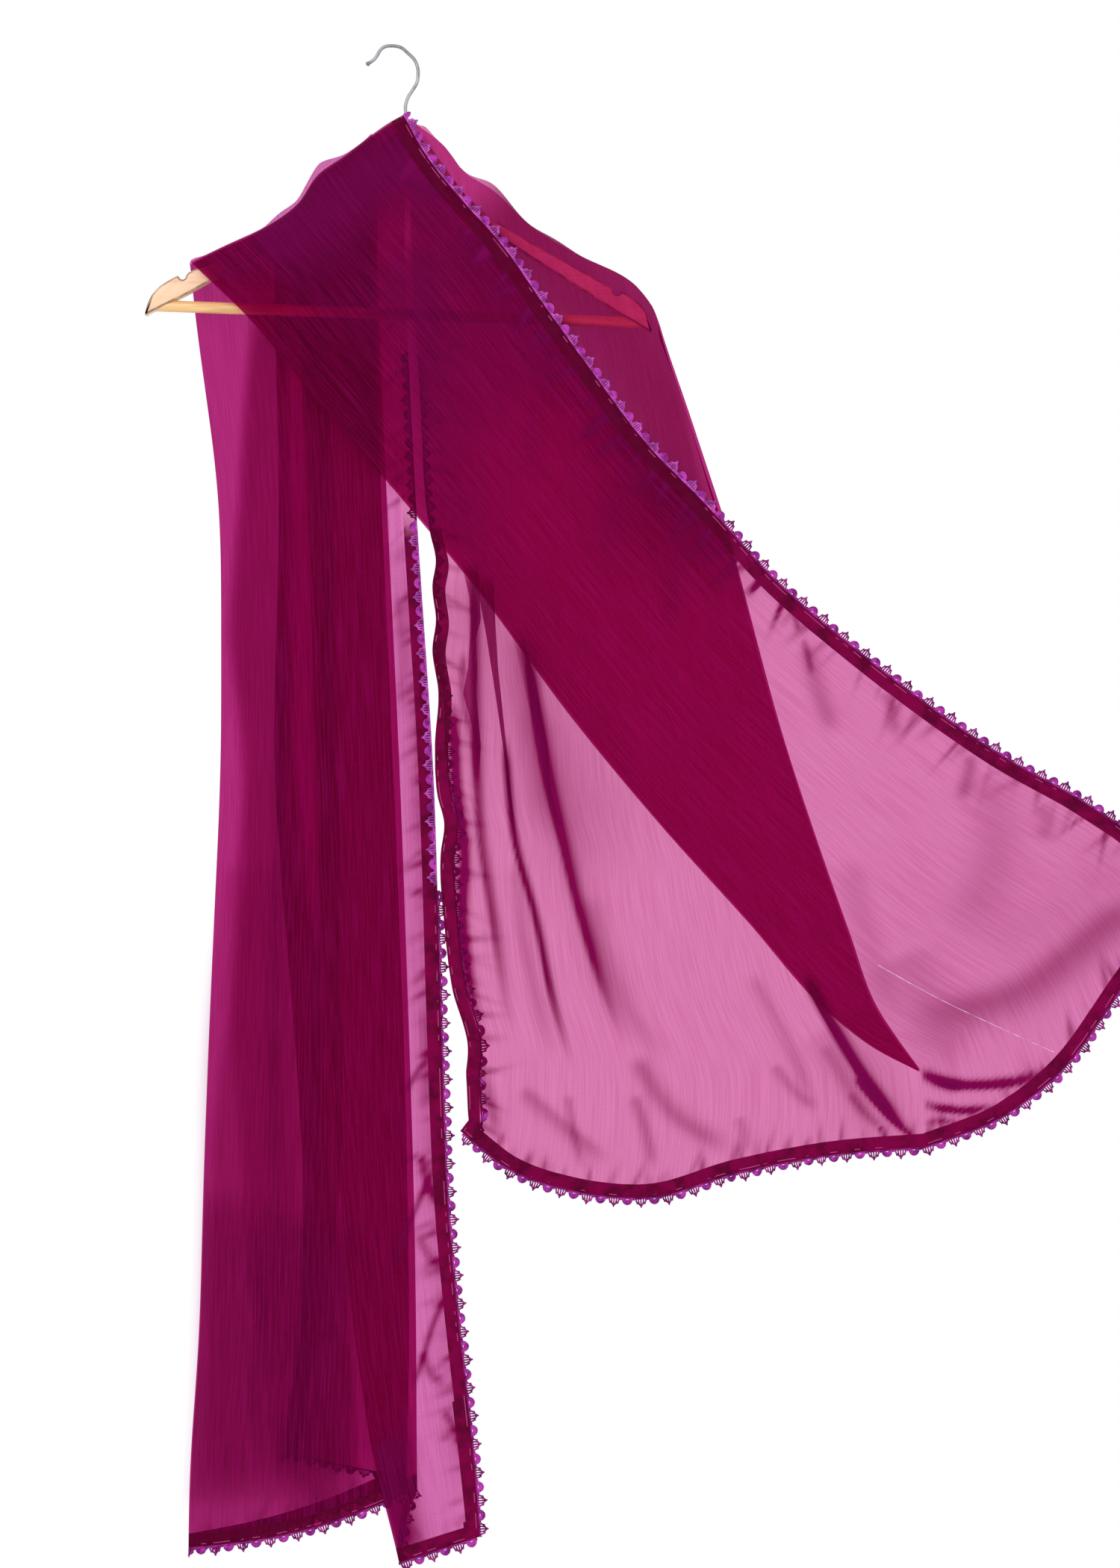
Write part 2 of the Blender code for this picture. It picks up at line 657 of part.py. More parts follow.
def hanger(wood, chrome, collection, helpers):
    reach = BAR_HALF_LENGTH
    socket = cylinder("socket", BAR_RADIUS + SEAM_GAP, -reach - 0.3, reach + 0.3, "X", BAR_HEIGHT, helpers)
    stem_hole = HOOK_WIRE_RADIUS + STEM_CLEARANCE
    bore = cylinder("stem_hole", stem_hole, STEM_FOOT - 1, STEM_TOP + 20, "Z", 0.0, helpers)
    for cutter in (socket, bore):
        cutter.hide_render = True
        cutter.display_type = "WIRE"
    hanger_arm("hanger_arm_left", -1, wood, collection, (socket, bore))
    hanger_arm("hanger_arm_right", 1, wood, collection, (socket, bore))
    bar = cylinder("hanger_bar", BAR_RADIUS, -reach, reach, "X", BAR_HEIGHT, collection)
    bar.data.materials.append(wood)
    hook(chrome, collection)


def main():
    clear_scene()
    collection = new_collection("dupatta stole on a hanger")
    helpers = new_collection("cutters")
    chiffon = new_material("chiffon", CHIFFON)
    edging = new_material("lace", LACE)
    wood = new_material("pale_wood", PALE_WOOD)
    chrome = new_material("chrome", CHROME)
    hanger(wood, chrome, collection, helpers)
    _, front, back = right_fall(chiffon, collection)
    middle_fold(chiffon, collection)
    _, left = left_fall(chiffon, collection)
    lace_edging(front, back, left, edging, collection)


main()
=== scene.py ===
"""Looks of a sheer dupatta stole with a lace edging, hung over a wooden hanger.

The tables are millimetres in the part's frame, right and up from the inside top of the hanger's hook,
and are turned to metres as each mesh is made. Depth runs from the front, which is negative, to the back.
"""

import math

import bmesh
import bpy
import numpy as np
from bpy.props import FloatProperty, FloatVectorProperty, PointerProperty
from mathutils import Matrix, Vector
from mathutils.bvhtree import BVHTree


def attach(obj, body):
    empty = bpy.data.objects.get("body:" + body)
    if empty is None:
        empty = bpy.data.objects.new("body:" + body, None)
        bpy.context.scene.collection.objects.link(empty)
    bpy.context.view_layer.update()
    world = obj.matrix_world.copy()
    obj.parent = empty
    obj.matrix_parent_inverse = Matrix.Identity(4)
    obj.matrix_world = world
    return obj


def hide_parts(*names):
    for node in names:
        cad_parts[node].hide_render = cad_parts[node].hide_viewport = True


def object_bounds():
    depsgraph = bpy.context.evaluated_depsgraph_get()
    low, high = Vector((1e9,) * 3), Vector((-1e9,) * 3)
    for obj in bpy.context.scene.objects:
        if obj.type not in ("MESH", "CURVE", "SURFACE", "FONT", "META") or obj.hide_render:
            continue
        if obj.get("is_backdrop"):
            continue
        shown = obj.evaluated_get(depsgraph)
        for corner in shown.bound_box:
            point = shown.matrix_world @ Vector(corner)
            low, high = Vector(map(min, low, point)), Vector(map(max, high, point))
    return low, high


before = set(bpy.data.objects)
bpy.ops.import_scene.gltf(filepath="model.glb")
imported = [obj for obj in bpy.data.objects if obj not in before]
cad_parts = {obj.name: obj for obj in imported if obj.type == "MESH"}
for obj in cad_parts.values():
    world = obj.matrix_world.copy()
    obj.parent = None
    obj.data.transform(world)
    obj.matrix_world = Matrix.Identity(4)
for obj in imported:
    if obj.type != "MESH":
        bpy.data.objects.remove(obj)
CAD_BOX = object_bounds()

bl_info = {
    "name": "Dupatta stole on a hanger",
    "version": (1, 0, 0),
    "blender": (4, 5, 0),
    "location": "3D View > Sidebar > Stole",
    "description": "Sheer chiffon stole with a lace edging, hung over a wooden hanger",
    "category": "Object",
}

MM = 0.001

# Edges and folds of the right fall, from the hanger down: right, up
FRONT_EDGE = [
    (9.7, -58.9), (30, -95), (62, -135), (95, -172), (133, -226), (172, -280), (219, -342),
    (272, -396), (334, -464), (400, -521), (466, -572), (531, -616), (596, -652), (634, -676),
]
FRONT_EDGE_CORNER = [(634, -676), (668, -703), (689, -735)]
FRONT_FOLD = [
    (-174, -185.7), (-155, -204), (-129, -229), (-71, -299), (-5, -375), (70, -465), (159, -585),
    (233, -674), (307, -756), (381, -839), (416, -866), (458, -888),
]
BACK_FOLD = [
    (231.6, -250.4), (254, -314), (276, -386), (290, -430), (342, -606), (397, -767), (421, -832),
    (438, -859), (458, -888),
]
FOLD_END = [(458, -888), (462, -920), (463, -953)]
BACK_EDGE = [
    (16, -61), (16, -143), (24, -300), (33, -420), (38, -445), (35, -465), (38, -497), (35, -520),
    (40, -558), (37, -606), (39, -647), (45, -673), (42, -697), (45, -763), (51, -815), (64, -872),
    (62, -890),
]
BACK_EDGE_CORNER = [(62, -890), (61, -915), (59, -939)]
TOP_LEFT = [
    (9.7, -58.9), (-4, -66), (-14, -73), (-41.4, -94), (-64, -110), (-81.5, -135), (-110.6, -156),
    (-143.6, -171), (-174, -185.7),
]
TOP_RIGHT = [
    (231.6, -250.4), (229, -232), (214, -209), (158, -177.5), (121, -155), (87, -123), (63, -108),
    (45, -85), (21, -66), (16, -61),
]
END_HEM_RIGHT = [(689, -735), (634, -812), (573, -892), (525, -928), (463, -953)]
END_HEM_LEFT = [
    (463, -953), (372, -961), (297, -975), (223, -996), (157, -991), (105, -974), (59, -939),
]

# Depth of the layers in front of and behind the hanger, then hanging free
LAYER_STEP = 3.0
MIDDLE_AT_HANGER = -10.0
MIDDLE_FREE = 0.0
BACK_AT_HANGER = 9.0
HANGER_CLEAR_Z = -262.0
HANGING_FREE_Z = -430.0

# Soft wave that all the hanging cloth shares
DRIFT_DEPTH = 5.0
DRIFT_ACROSS = 330.0
DRIFT_DOWN = 900.0
DRIFT_LAG = 150.0

# Opening between the front and the back round the hook's stem
NECK_X = 11.8
NECK_OPENING = 2.6
NECK_OPENING_WIDTH = 9.0

# Folds of the right fall: where they start to shut, their round turn, and the seam below them
FOLDS_START_TO_SHUT = 0.92
TURN_ANGLES = (0.0, 30.0, 60.0, 90.0)
TURN_FREE = (2.0, 20.0)
FOLD_FADE = 0.9
SEAM_INWARD = (-0.22, 0.975)

# The layer between the folds keeps under the outline's top; its lining ends beside the front hem
UNDER_TOP = 1.2
UNDER_TOP_FROM = 40.0
UNDER_TOP_TO = 10.0
LINING_STEP = 1.3
LINING_INSET = 4
LINING_UNDER_HEM = 5.0

# Rows and columns of the cloth's grids
TOP_ROWS = (0.0, 0.0012, 0.003, 0.006, 0.01)
FIRST_FULL_ROW = 0.0135
DOUBLED_SHARE = 0.9
DOUBLED_RUN = 900.0
SINGLE_RUN = 72.0
HEM_STEPS = 4
TOP_FADE = 3
END_FADE = 12
BUMP_FADE = 40

# Puckers: the seeds along the side hem and the end hem, and how many more show through the band
PUCKER_SEEDS = {"front": (5, 12), "back": (8, 15), "left": (21, 27)}
BAND_PUCKERS = 2.2
BAND_PUCKERS_END = (-540, -440)
BAND_PUCKERS_TOP = (20, 70)
# Ranges of a pucker: gap to the next one, half width, share of the reach, slant and added density
PUCKER_GAPS = (7, 24)
PUCKER_WIDTHS = (2.4, 5.0)
PUCKER_LENGTHS = (0.35, 1.0)
PUCKER_SLANTS = (-0.45, 0.45)
PUCKER_DENSITIES = (0.06, 0.46)
# How far the puckers of the side hem and of the end hem reach into each fall
RIGHT_PUCKER_REACH = (26.0, 16.0)
LEFT_PUCKER_REACH = (18.0, 14.0)

# Shares of a crease's length over which it fades in and out
CREASE_STARTS = (0, 0.12)
CREASE_ENDS = (0.72, 1.0)

# Where the band starts to hide the hems and lace behind it
HIDDEN_HEM = (-430.0, -405.0)
# Distance from the hem, well past it, of cloth that has none
FAR_FROM_HEM = 99.0
# Light let through where a flat pleat fades out
SOFT_SIDE_TINT = (1.0, 0.97, 1.0)
# How far out a search for a layer's depth starts
RAY_START = 200.0

# How far in the lace of the back edge lies, and the heights where that starts and is full
BACK_LACE_INSET = 11.0
BACK_LACE_STARTS = (-500.0, -640.0)

# Widths along the weave, then the stole's own in metres
FRONT_WIDTH = 250.0
MIDDLE_WIDTH = 290.0
BACK_WIDTH = 350.0
STOLE_WIDTH = 0.80

# Creases of the right fall's back layer: route, width to each side, depth, density and painted shade
# The wide rows with little or no depth only darken the cloth: painted shade
BACK_CREASES_AND_SHADE = [
    ([(70, -440), (72, -585), (76, -684), (87, -758), (103, -863)], 6, 3, 5.0, 0.55),
    ([(62, -520), (62, -560), (70, -600), (73, -650)], 3, 4, 2.0, 0.35),
    ([(52, -560), (54, -606), (56, -647), (62, -690), (61, -763), (68, -815), (81, -868)], 5, 4, 0.0, 0.85),
    ([(112, -500), (120, -560), (130, -620), (142, -700)], 9, 14, 0.0, 0.2),
    ([(96, -590), (108, -696), (122, -746), (140, -830), (157, -888)], 4, 2.5, 7.0, 0.75),
    ([(104, -700), (112, -760), (126, -830), (139, -880)], 7, 5, -3.0, 0.16),
    ([(114, -510), (134, -634), (146, -684), (161, -746), (188, -830), (208, -872)], 7, 3, 6.0, 0.62),
    ([(122, -560), (142, -640), (158, -720), (180, -800), (204, -868)], 16, 14, 0.0, 0.10),
    ([(208, -872), (243, -923), (299, -959)], 9, 7, 4.0, 0.25),
    ([(168, -730), (192, -806), (214, -850), (236, -884)], 10, 8, -3.0, 0.14),
    ([(70, -110), (130, -180), (205, -260), (245, -330), (262, -420), (262, -500)], 70, 70, 0.0, 0.42),
    ([(380, -840), (410, -890), (435, -925), (450, -950)], 30, 30, 0.0, 0.12),
    ([(356, -800), (365, -819), (384, -853), (410, -895), (426, -916), (441, -935), (462, -954)],
     6, 3, 5.0, 1.0),
    ([(400, -890), (418, -912), (441, -935), (458, -950), (470, -962)], 2.5, 2.5, 1.0, 0.8),
    ([(424, -934), (427, -945), (426, -960)], 2, 2.5, 1.0, 0.6),
    ([(396, -905), (412, -925), (430, -940)], 3, 4, 1.0, 0.22),
    ([(310, -800), (338, -850), (360, -900), (372, -930)], 5, 7, -1.0, 0.14),
    ([(330, -880), (350, -905), (372, -922)], 4, 5, 1.0, 0.20),
    ([(372, -862), (398, -905), (420, -940)], 7, 6, 3.0, 0.16),
    ([(110, -900), (150, -935), (192, -968)], 5, 8, 3.0, 0.22),
    ([(66, -872), (82, -905), (92, -948)], 6, 5, 3.0, 0.30),
    ([(210, -905), (222, -945), (228, -975)], 4, 6, 2.5, 0.24),
    ([(152, -905), (160, -950), (166, -975)], 3, 4, 2.0, 0.22),
    ([(300, -925), (306, -948), (304, -960)], 5, 5, 2.0, 0.16),
    ([(60, -440), (95, -520), (150, -640), (200, -740)], 50, 45, 0.0, 0.13),
]

# Creases of the right fall's front layer: route, width to each side, depth, density and painted shade
FRONT_CREASES_AND_SHADE = [
    # The wide rows with little or no depth only darken the cloth: painted shade
    ([(440, -780), (462, -830), (480, -870), (500, -890)], 26, 30, 0.0, 0.13),
    ([(446, -880), (459, -889), (483, -898), (510, -899), (540, -896), (566, -893)], 4, 3, -3.0, 1.1),
    ([(459, -889), (472, -896), (483, -899), (498, -900)], 6, 5, 0.0, 0.5),
    ([(440, -902), (452, -909), (468, -917), (489, -921), (514, -919), (530, -917)], 3, 2.5, -1.5, 0.85),
    ([(452, -916), (470, -919), (492, -918)], 3, 3, 0.0, 0.3),
    ([(452, -934), (462, -932), (478, -930), (497, -936)], 2.5, 2.5, -1.0, 0.5),
    ([(450, -944), (460, -943), (481, -943), (494, -942)], 2.5, 2.5, -1.0, 0.45),
    ([(540, -892), (560, -888), (572, -886)], 2.5, 4, 0.0, 0.35),
    ([(650, -740), (617, -759), (580, -789), (543, -815), (500, -830), (440, -836)], 20, 12, -6.0, 0.3),
    ([(690, -700), (640, -712), (560, -735), (470, -760), (400, -780)], 80, 80, -1.0, 0.03),
    ([(10, -160), (50, -215), (90, -275), (130, -330)], 60, 50, 0.0, 0.24),
    ([(-176, -180), (-172, -190), (-140, -190), (-112, -178), (-90, -170)], 20, 22, 0.0, 0.34),
    ([(26, -90), (28, -150), (28, -220), (30, -300), (34, -380)], 12, 12, 0.0, 0.2),
    ([(22, -170), (30, -240), (40, -320), (64, -430), (90, -480)], 34, 40, 0.0, 0.26),
    ([(640, -700), (600, -735), (560, -760), (500, -776)], 26, 22, -3.0, 0.05),
    ([(509, -624), (521, -683), (508, -735), (470, -770)], 24, 20, -3.0, 0.11),
    ([(356, -516), (361, -528), (364, -541), (372, -567), (386, -600)], 9, 8, -2.5, 0.20),
    ([(356, -512), (360, -527), (364, -546)], 3, 3, -1.0, 0.3),
    ([(428, -556), (431, -568), (437, -600)], 6, 6, -2.0, 0.20),
    ([(498, -612), (500, -620), (498, -631), (490, -655)], 6, 6, -2.0, 0.24),
    ([(349, -490), (350, -496), (352, -506)], 3, 3, -1.0, 0.40),
    ([(560, -655), (566, -668), (562, -690)], 8, 8, -2.0, 0.16),
    ([(396, -700), (418, -790), (440, -850)], 12, 18, -2.0, 0.10),
    ([(212, -360), (196, -392), (182, -450)], 10, 12, -2.0, 0.12),
    ([(262, -412), (246, -452), (240, -510)], 9, 10, -2.0, 0.12),
    ([(150, -270), (128, -310), (118, -372)], 9, 12, -2.0, 0.12),
    ([(-60, -150), (-10, -210), (60, -290), (150, -400)], 26, 22, -0.6, 0.05),
    ([(-118, -184), (-70, -150), (-30, -122), (5, -102), (45, -118), (80, -150)], 30, 32, 0.0, 0.95),
    ([(-60, -250), (-20, -200), (20, -160), (70, -190)], 60, 60, 0.0, 0.14),
    ([(30, -125), (90, -190), (170, -300), (260, -405), (360, -500)], 5, 20, -1.2, 0.14),
]

# Flat pleats on the right fall's back layer: up, left side, right side, then density at each side
PLEATS = [
    ([(-440, 60, 74), (-459, 63, 75), (-475, 67, 76), (-496, 68, 77), (-512, 67.5, 72.5),
      (-536, 66, 74), (-560, 61.5, 73), (-584, 68.6, 75), (-604, 71.8, 77), (-640, 73, 75)], 0.5, 0.8),
    ([(-452, 72, 88), (-484, 77, 89), (-505, 81, 90), (-537, 86, 92), (-566, 90.5, 95),
      (-604, 96, 99), (-650, 101, 103.5), (-696, 107, 109)], 0.92, 0.92),
    ([(-500, 101, 112), (-520, 107, 117), (-533, 110, 120), (-562, 116.5, 127), (-581, 121.6, 130),
      (-604, 128, 134.6), (-640, 133, 137), (-684, 145, 147)], 0.15, 0.75),
]

# A pulled thread that shows pale across the front layer
PULLED_THREAD = [(420.6, -794.5), (470, -822), (520, -846), (573, -870)]
PULLED_THREAD_COLOUR = (0.85, 0.45, 0.66)
PULLED_THREAD_HALF = 0.2
# How far a pleat lies behind its layer and the pulled thread before it
PLEAT_BEHIND = 0.9
PULLED_THREAD_BEFORE = 0.5

# Where the single top layer stands above the outline: right, how far, half width
TOP_BUMPS_LEFT = [(-64, 9.0, 17), (-14, 2.6, 6), (-97, 3.0, 11), (-172, 2.0, 6)]
TOP_BUMPS_RIGHT = [(27, 4.5, 8), (88, 5.0, 17), (140, 2.0, 16)]

# Folds of the left fall as hung: up, then right of the front edge, the two front pleats, the outer
# fold, the two inner folds and the inner edge
LEFT_SECTIONS = [
    (-190, 10, -84, -14, -178, -18, -104, -60),
    (-391, 20, -73, -5, -150, -10, -99, -52),
    (-625, 36, -67, 6, -149, 0, -105, -48),
    (-878, 43, -55, 15, -161, 10, -84, -44),
    (-1003, 47, -44, 19, -166, 13, -76, -45),
    (-1130, 60, -32, 21, -169, 15, -84, -66),
    (-1229, 72, -16, 21, -178, 12, -98, -84),
    (-1262, 75, -12, 22, -178, 11, -98, -84),
    (-1320, 78, 14, 22, -178, 10, -98, -84),
]
LEFT_END_SAG = {2: 12.0, 3: 10.0}
# Layers of the left fall from front to back: depth, how far its top lies under the outline
LEFT_LAYERS = [(8.5, 3.0), (11.3, 2.2), (14.1, 1.4), (16.9, 0.0), (19.7, 1.0), (22.5, 2.0)]
LEFT_END = (-1291, -1314, -1250, -1303, -1242, -1222, -1198)
LEFT_TOP_DEPTH = 16.9
LEFT_FOLD_RADIUS = 1.5
TURNED_LACE_END = -729.0
FOLD_ANGLES = (-60, -30, 0, 30, 60)
LEFT_RUN = 1100.0
BUMP_LAYER = 3
FIRST_HIDDEN_END = 4

# Creases of the left fall: layers, route, width to each side, depth, density and painted shade
LEFT_CREASES_AND_SHADE = [
    # The wide rows with little or no depth only darken the cloth: painted shade
    ((0,), [(24, -960), (30, -985), (44, -1010)], 4, 3, -1.0, 0.40),
    ((0,), [(22, -1030), (34, -1050), (50, -1062)], 4, 4, -1.0, 0.30),
    ((0,), [(10, -908), (20, -890), (34, -872)], 2.5, 3, -0.6, 0.4),
    ((0,), [(6, -965), (18, -962), (34, -968)], 2.5, 3, -0.6, 0.3),
    ((0,), [(0, -1058), (14, -1022), (31, -983), (43, -958)], 3, 2.5, -0.8, 0.45),
    ((0,), [(18, -1162), (28, -1132), (36, -1106), (60, -1058)], 3, 2.5, -0.8, 0.45),
    ((0,), [(26, -1130), (34, -1150), (48, -1160)], 4, 4, -1.0, 0.35),
    ((0,), [(44, -1180), (56, -1200), (64, -1225)], 3, 4, -1.0, 0.38),
    ((0,), [(10, -1175), (12, -1215), (18, -1262)], 6, 5, -1.0, 0.25),
    ((0,), [(20, -560), (24, -620), (22, -700)], 5, 5, -1.0, 0.14),
    ((0,), [(4, -470), (8, -520), (6, -580)], 5, 4, -1.0, 0.16),
    ((0,), [(26, -830), (30, -880), (27, -930)], 4, 5, -1.0, 0.16),
    ((0,), [(44, -920), (50, -1000), (56, -1100), (62, -1180), (66, -1290)], 26, 18, 0.0, 0.15),
    ((0,), [(25, -430), (27, -480), (33, -560), (36, -640), (33, -700)], 3, 3, -1.0, 0.4),
    ((0,), [(31, -600), (28, -640), (33, -680), (30, -730)], 2.5, 2.5, -1.0, 0.35),
    ((0,), [(16, -420), (30, -560), (34, -700), (38, -820), (42, -960), (50, -1060)], 24, 18, 0.0, 0.22),
    ((0,), [(-4, -1200), (0, -1250), (10, -1290), (22, -1322)], 16, 12, 0.0, 0.7),
    ((2, 3), [(-150, -980), (-152, -1100), (-152, -1200), (-150, -1340)], 44, 44, 0.0, 0.17),
    ((2, 3), [(-84, -1000), (-76, -1150), (-66, -1260), (-60, -1340)], 44, 44, 0.0, 0.17),
    ((2, 3), [(-176, -700), (-172, -900), (-176, -1100), (-180, -1310)], 6, 4, 0.0, 0.3),
    ((2,), [(-100, -1180), (-80, -1240), (-40, -1262), (0, -1262)], 14, 16, 0.8, 0.16),
    ((2, 3), [(-95, -480), (-100, -700), (-104, -900), (-98, -1100)], 6, 5, 0.8, 0.14),
    ((2, 3), [(-60, -420), (-58, -600), (-66, -800), (-72, -1000), (-80, -1200)], 5, 5, -0.8, 0.12),
    ((2, 3), [(-112, -1040), (-120, -1150), (-118, -1240)], 7, 6, 0.8, 0.10),
    ((2,), [(-30, -1010), (-52, -1100), (-62, -1200)], 8, 6, 0.8, 0.14),
]

# Soft tucks inside the left fall: depth, density, then up, left side and right side at each stop
LEFT_TUCKS = [
    (17.8, 0.3, [
        (-205, -124, -84), (-237, -131, -84), (-282, -135, -84), (-347, -139, -84), (-412, -144, -82),
        (-476, -149, -82), (-515, -150, -80), (-541, -147, -80), (-617, -139, -80), (-703, -142, -74),
        (-800, -148, -56), (-864, -154, -50), (-929, -162, -46), (-1060, -168, -32),
        (-1180, -172, -28), (-1262, -175, -26),
    ]),
    (18.6, 0.3, [
        (-215, -122, -90), (-282, -132, -90), (-412, -140, -88), (-515, -146, -86), (-617, -134, -84),
        (-703, -137, -68), (-800, -143, -60), (-864, -146, -56), (-929, -140, -52), (-1026, -134, -40),
        (-1120, -124, -32), (-1180, -116, -28), (-1250, -108, -26),
    ]),
    (16.0, 0.16, [
        (-700, -150, -84), (-864, -170, -80), (-1000, -174, -76), (-1130, -178, -60),
        (-1270, -184, -40),
    ]),
]

# Hanger's hook, from its open end to the stem: right, up
HOOK_ROUTE = [
    (-20.1, -13.6), (-15.5, -10.4), (-12.9, -7.1), (-10.4, -2.6), (-6.5, 0.6), (0, 1.5), (7.8, 0),
    (14.2, -5.2), (20.1, -11.6), (22.6, -19.4), (22.6, -25.2), (21.4, -31.1), (17.5, -37.5),
    (13.6, -44), (11.8, -50.5), (12.08, -59.49), (11.03, -89.48),
]
HOOK_SWELL = [(2.6, 0.15), (2.4, 0.6), (1.9, 1.05), (1.1, 1.4), (0.4, 1.5)]

# Hanger's own frame, and one arm from the neck out over the top to the tip and back: out, up
HANGER_CENTRE = (5.8, -239.4)
HANGER_TILT = 2.0
ARM_OUTLINE = [
    (0.15, 166), (11, 163), (24, 151), (38, 133), (54, 113), (76, 94), (120, 70), (150, 54.6), (183, 37.5),
    (185.1, 34.6), (185.5, 32.5), (187.4, 31.2), (189.5, 31.5), (191.2, 33.2), (192, 34.5), (197, 31.9),
    (203, 28), (207.5, 24.8), (211, 21), (214.4, 16.4), (217, 11), (218.7, 5.2), (219.5, 0), (219.2, -0.5),
    (218.4, -0.1), (185, 18), (150, 38.9), (90, 74.3), (42, 106), (0.15, 120),
]
# Rounded edge of an arm: depth, how far inside the outline
ARM_EDGE = [(4.6, 0.0), (5.3, 0.35), (5.75, 0.9), (6.0, 1.7)]
ARM_RINGS = [(-depth, inset) for depth, inset in reversed(ARM_EDGE)] + ARM_EDGE

# One repeat of the lace, a fan and a dome: how far along, how far out
FAN_MIDDLE = 5.6
FAN_REACH = (4.2, 5.4)
FAN_ARCH = (1.9, 1.5)
FAN_RIBS = 11
FAN_TOOTH = 1.3
FAN_FOOT = 0.35
DOME_MIDDLE = 17.4
DOME_OUTLINE = [
    (-4.0, 0.3), (-4.3, 1.7), (-4.0, 3.2), (-3.1, 4.5), (-1.8, 5.4), (-0.8, 6.2), (0.0, 7.5),
    (0.8, 6.2), (1.8, 5.4), (3.1, 4.5), (4.0, 3.2), (4.3, 1.7), (4.0, 0.3),
]
DOME_BARS = [
    [(-2.2, 0.3), (-2.2, 2.6), (-1.7, 5.0)],
    [(0, 0.3), (0, 3.0), (0, 6.3)],
    [(2.2, 0.3), (2.2, 2.6), (1.7, 5.0)],
]
DOME_PICOTS = [(-3.5, 4.9), (3.5, 4.9), (0.0, 8.0)]
RING_MIDDLES = [0.3, 11.4, 23.7]
RING_HEIGHT = 1.1
RING_RADIUS = 0.7
PICOT_RADIUS = 0.42
BASE_CORD_HEIGHT = 0.25
# Wavy thread beside the base cord: height, wave and its angle along a repeat, about four turns
WAVE_HEIGHT = 0.75
WAVE_SIZE = 0.12
WAVE_ANGLE = 25
# How much the repeats differ: lean to the front or back, and height
LACE_LEANS = (-0.16, 0.16)
LACE_HEIGHTS = (0.93, 1.04)
# Depth of the lace turned in behind the back edge, and over the hem of the left fall
LACE_BEHIND = 2.1
LACE_BEFORE = -1.8
# Finish of the fans and of the open threads: plain, hidden by the band, painted highlight against dark cloth
LACE_LOOKS = [(0, 1), (2, 2), (0, 3)]
# Above this height the front edge's lace takes the painted highlight
PAINTED_HIGHLIGHT_LACE_ENDS = -412.0

# Where the camera stands, right and up, in metres
CAMERA_PLACE = (0.1456, -0.638)


def size_property(name, description, default):
    return FloatProperty(name=name, description=description, default=default, unit="LENGTH")


def colour_property(name, description, default):
    return FloatVectorProperty(name=name, description=description, default=default, size=3, subtype="COLOR")


class ClothProperties(bpy.types.PropertyGroup):
    """Sizes and colours of the chiffon."""

    step: size_property("Mesh step", "Distance between points of the cloth", 0.0032)
    hem: size_property("Hem", "Depth of the turned hem", 0.012)
    pucker: size_property("Pucker", "How far a pucker of the hem stands out", 0.0011)
    thread_gap: size_property("Crinkle spacing", "Distance between the crinkle lines", 0.0015)
    grain_gap: size_property("Weave", "Distance between threads of the weave", 0.0006)
    cover: FloatProperty(
        name="Cover", description="Share of one layer that its threads fill", default=0.2, subtype="FACTOR",
        min=0, max=1,
    )
    front_tint: colour_property("Front tint", "Light let through by the front layer", (0.75, 0.222, 0.49))
    middle_tint: colour_property("Middle tint", "Light let through by the doubled layer", (0.74, 0.20, 0.50))
    back_tint: colour_property("Back tint", "Light let through by the back layer", (0.76, 0.23, 0.49))
    left_tint: colour_property("Left tint", "Light let through by the left fall", (0.73, 0.19, 0.50))
    hem_tint: colour_property("Hem tint", "Light let through by the hem", (0.23, 0.002, 0.062))
    hem_thread: colour_property("Hem thread", "Colour of the hem's turned layers", (0.155, 0.0003, 0.037))
    thread: colour_property("Thread", "Colour of the chiffon's threads", (0.24, 0.0005, 0.082))
    # Lighter copy of the thread colour on the raised crinkle threads: painted highlight
    thread_painted_highlight: colour_property("Lit thread", "Colour of the raised threads", (0.30, 0.002, 0.115))
    # Darker copy of the thread colour for gathered and creased cloth and crinkle valleys: painted shade
    thread_painted_shade: colour_property("Deep thread", "Colour of gathered threads", (0.15, 0.0003, 0.062))
    stitch: colour_property("Stitch", "Colour of the hem's sewing thread", (0.55, 0.09, 0.28))


class LaceProperties(bpy.types.PropertyGroup):
    """Sizes and colours of the lace edging."""

    repeat: size_property("Repeat", "Length of one fan and one dome", 0.024)
    cord: size_property("Base cord", "Radius of the cord along the cloth", 0.00045)
    thread: size_property("Thread", "Radius of the lace's threads", 0.00080)
    thick: size_property("Fan thickness", "Thickness of a fan", 0.0009)
    fan: colour_property("Fan", "Colour of the fans", (0.34, 0.018, 0.30))
    # Lighter copy of the lace's thread colour where it lies against dark cloth: painted highlight
    painted_highlight: colour_property("Lit thread", "Colour of the open threads against dark cloth", (0.40, 0.06, 0.38))
    dark: colour_property("Thread colour", "Colour of the open threads", (0.25, 0.006, 0.18))


class HangerProperties(bpy.types.PropertyGroup):
    """Sizes and colours of the hanger."""

    wire: size_property("Hook wire", "Radius of the hook's wire", 0.0015)
    wood: colour_property("Arm wood", "Colour of the arms", (0.80, 0.55, 0.36))
    wood_grain: colour_property("Arm grain", "Colour of the arms' grain", (0.70, 0.38, 0.24))
    bar: colour_property("Bar wood", "Colour of the bar", (0.84, 0.52, 0.23))
    bar_grain: colour_property("Bar grain", "Colour of the bar's grain", (0.58, 0.30, 0.11))
    chrome: colour_property("Hook", "Colour of the hook's metal", (0.34, 0.35, 0.37))


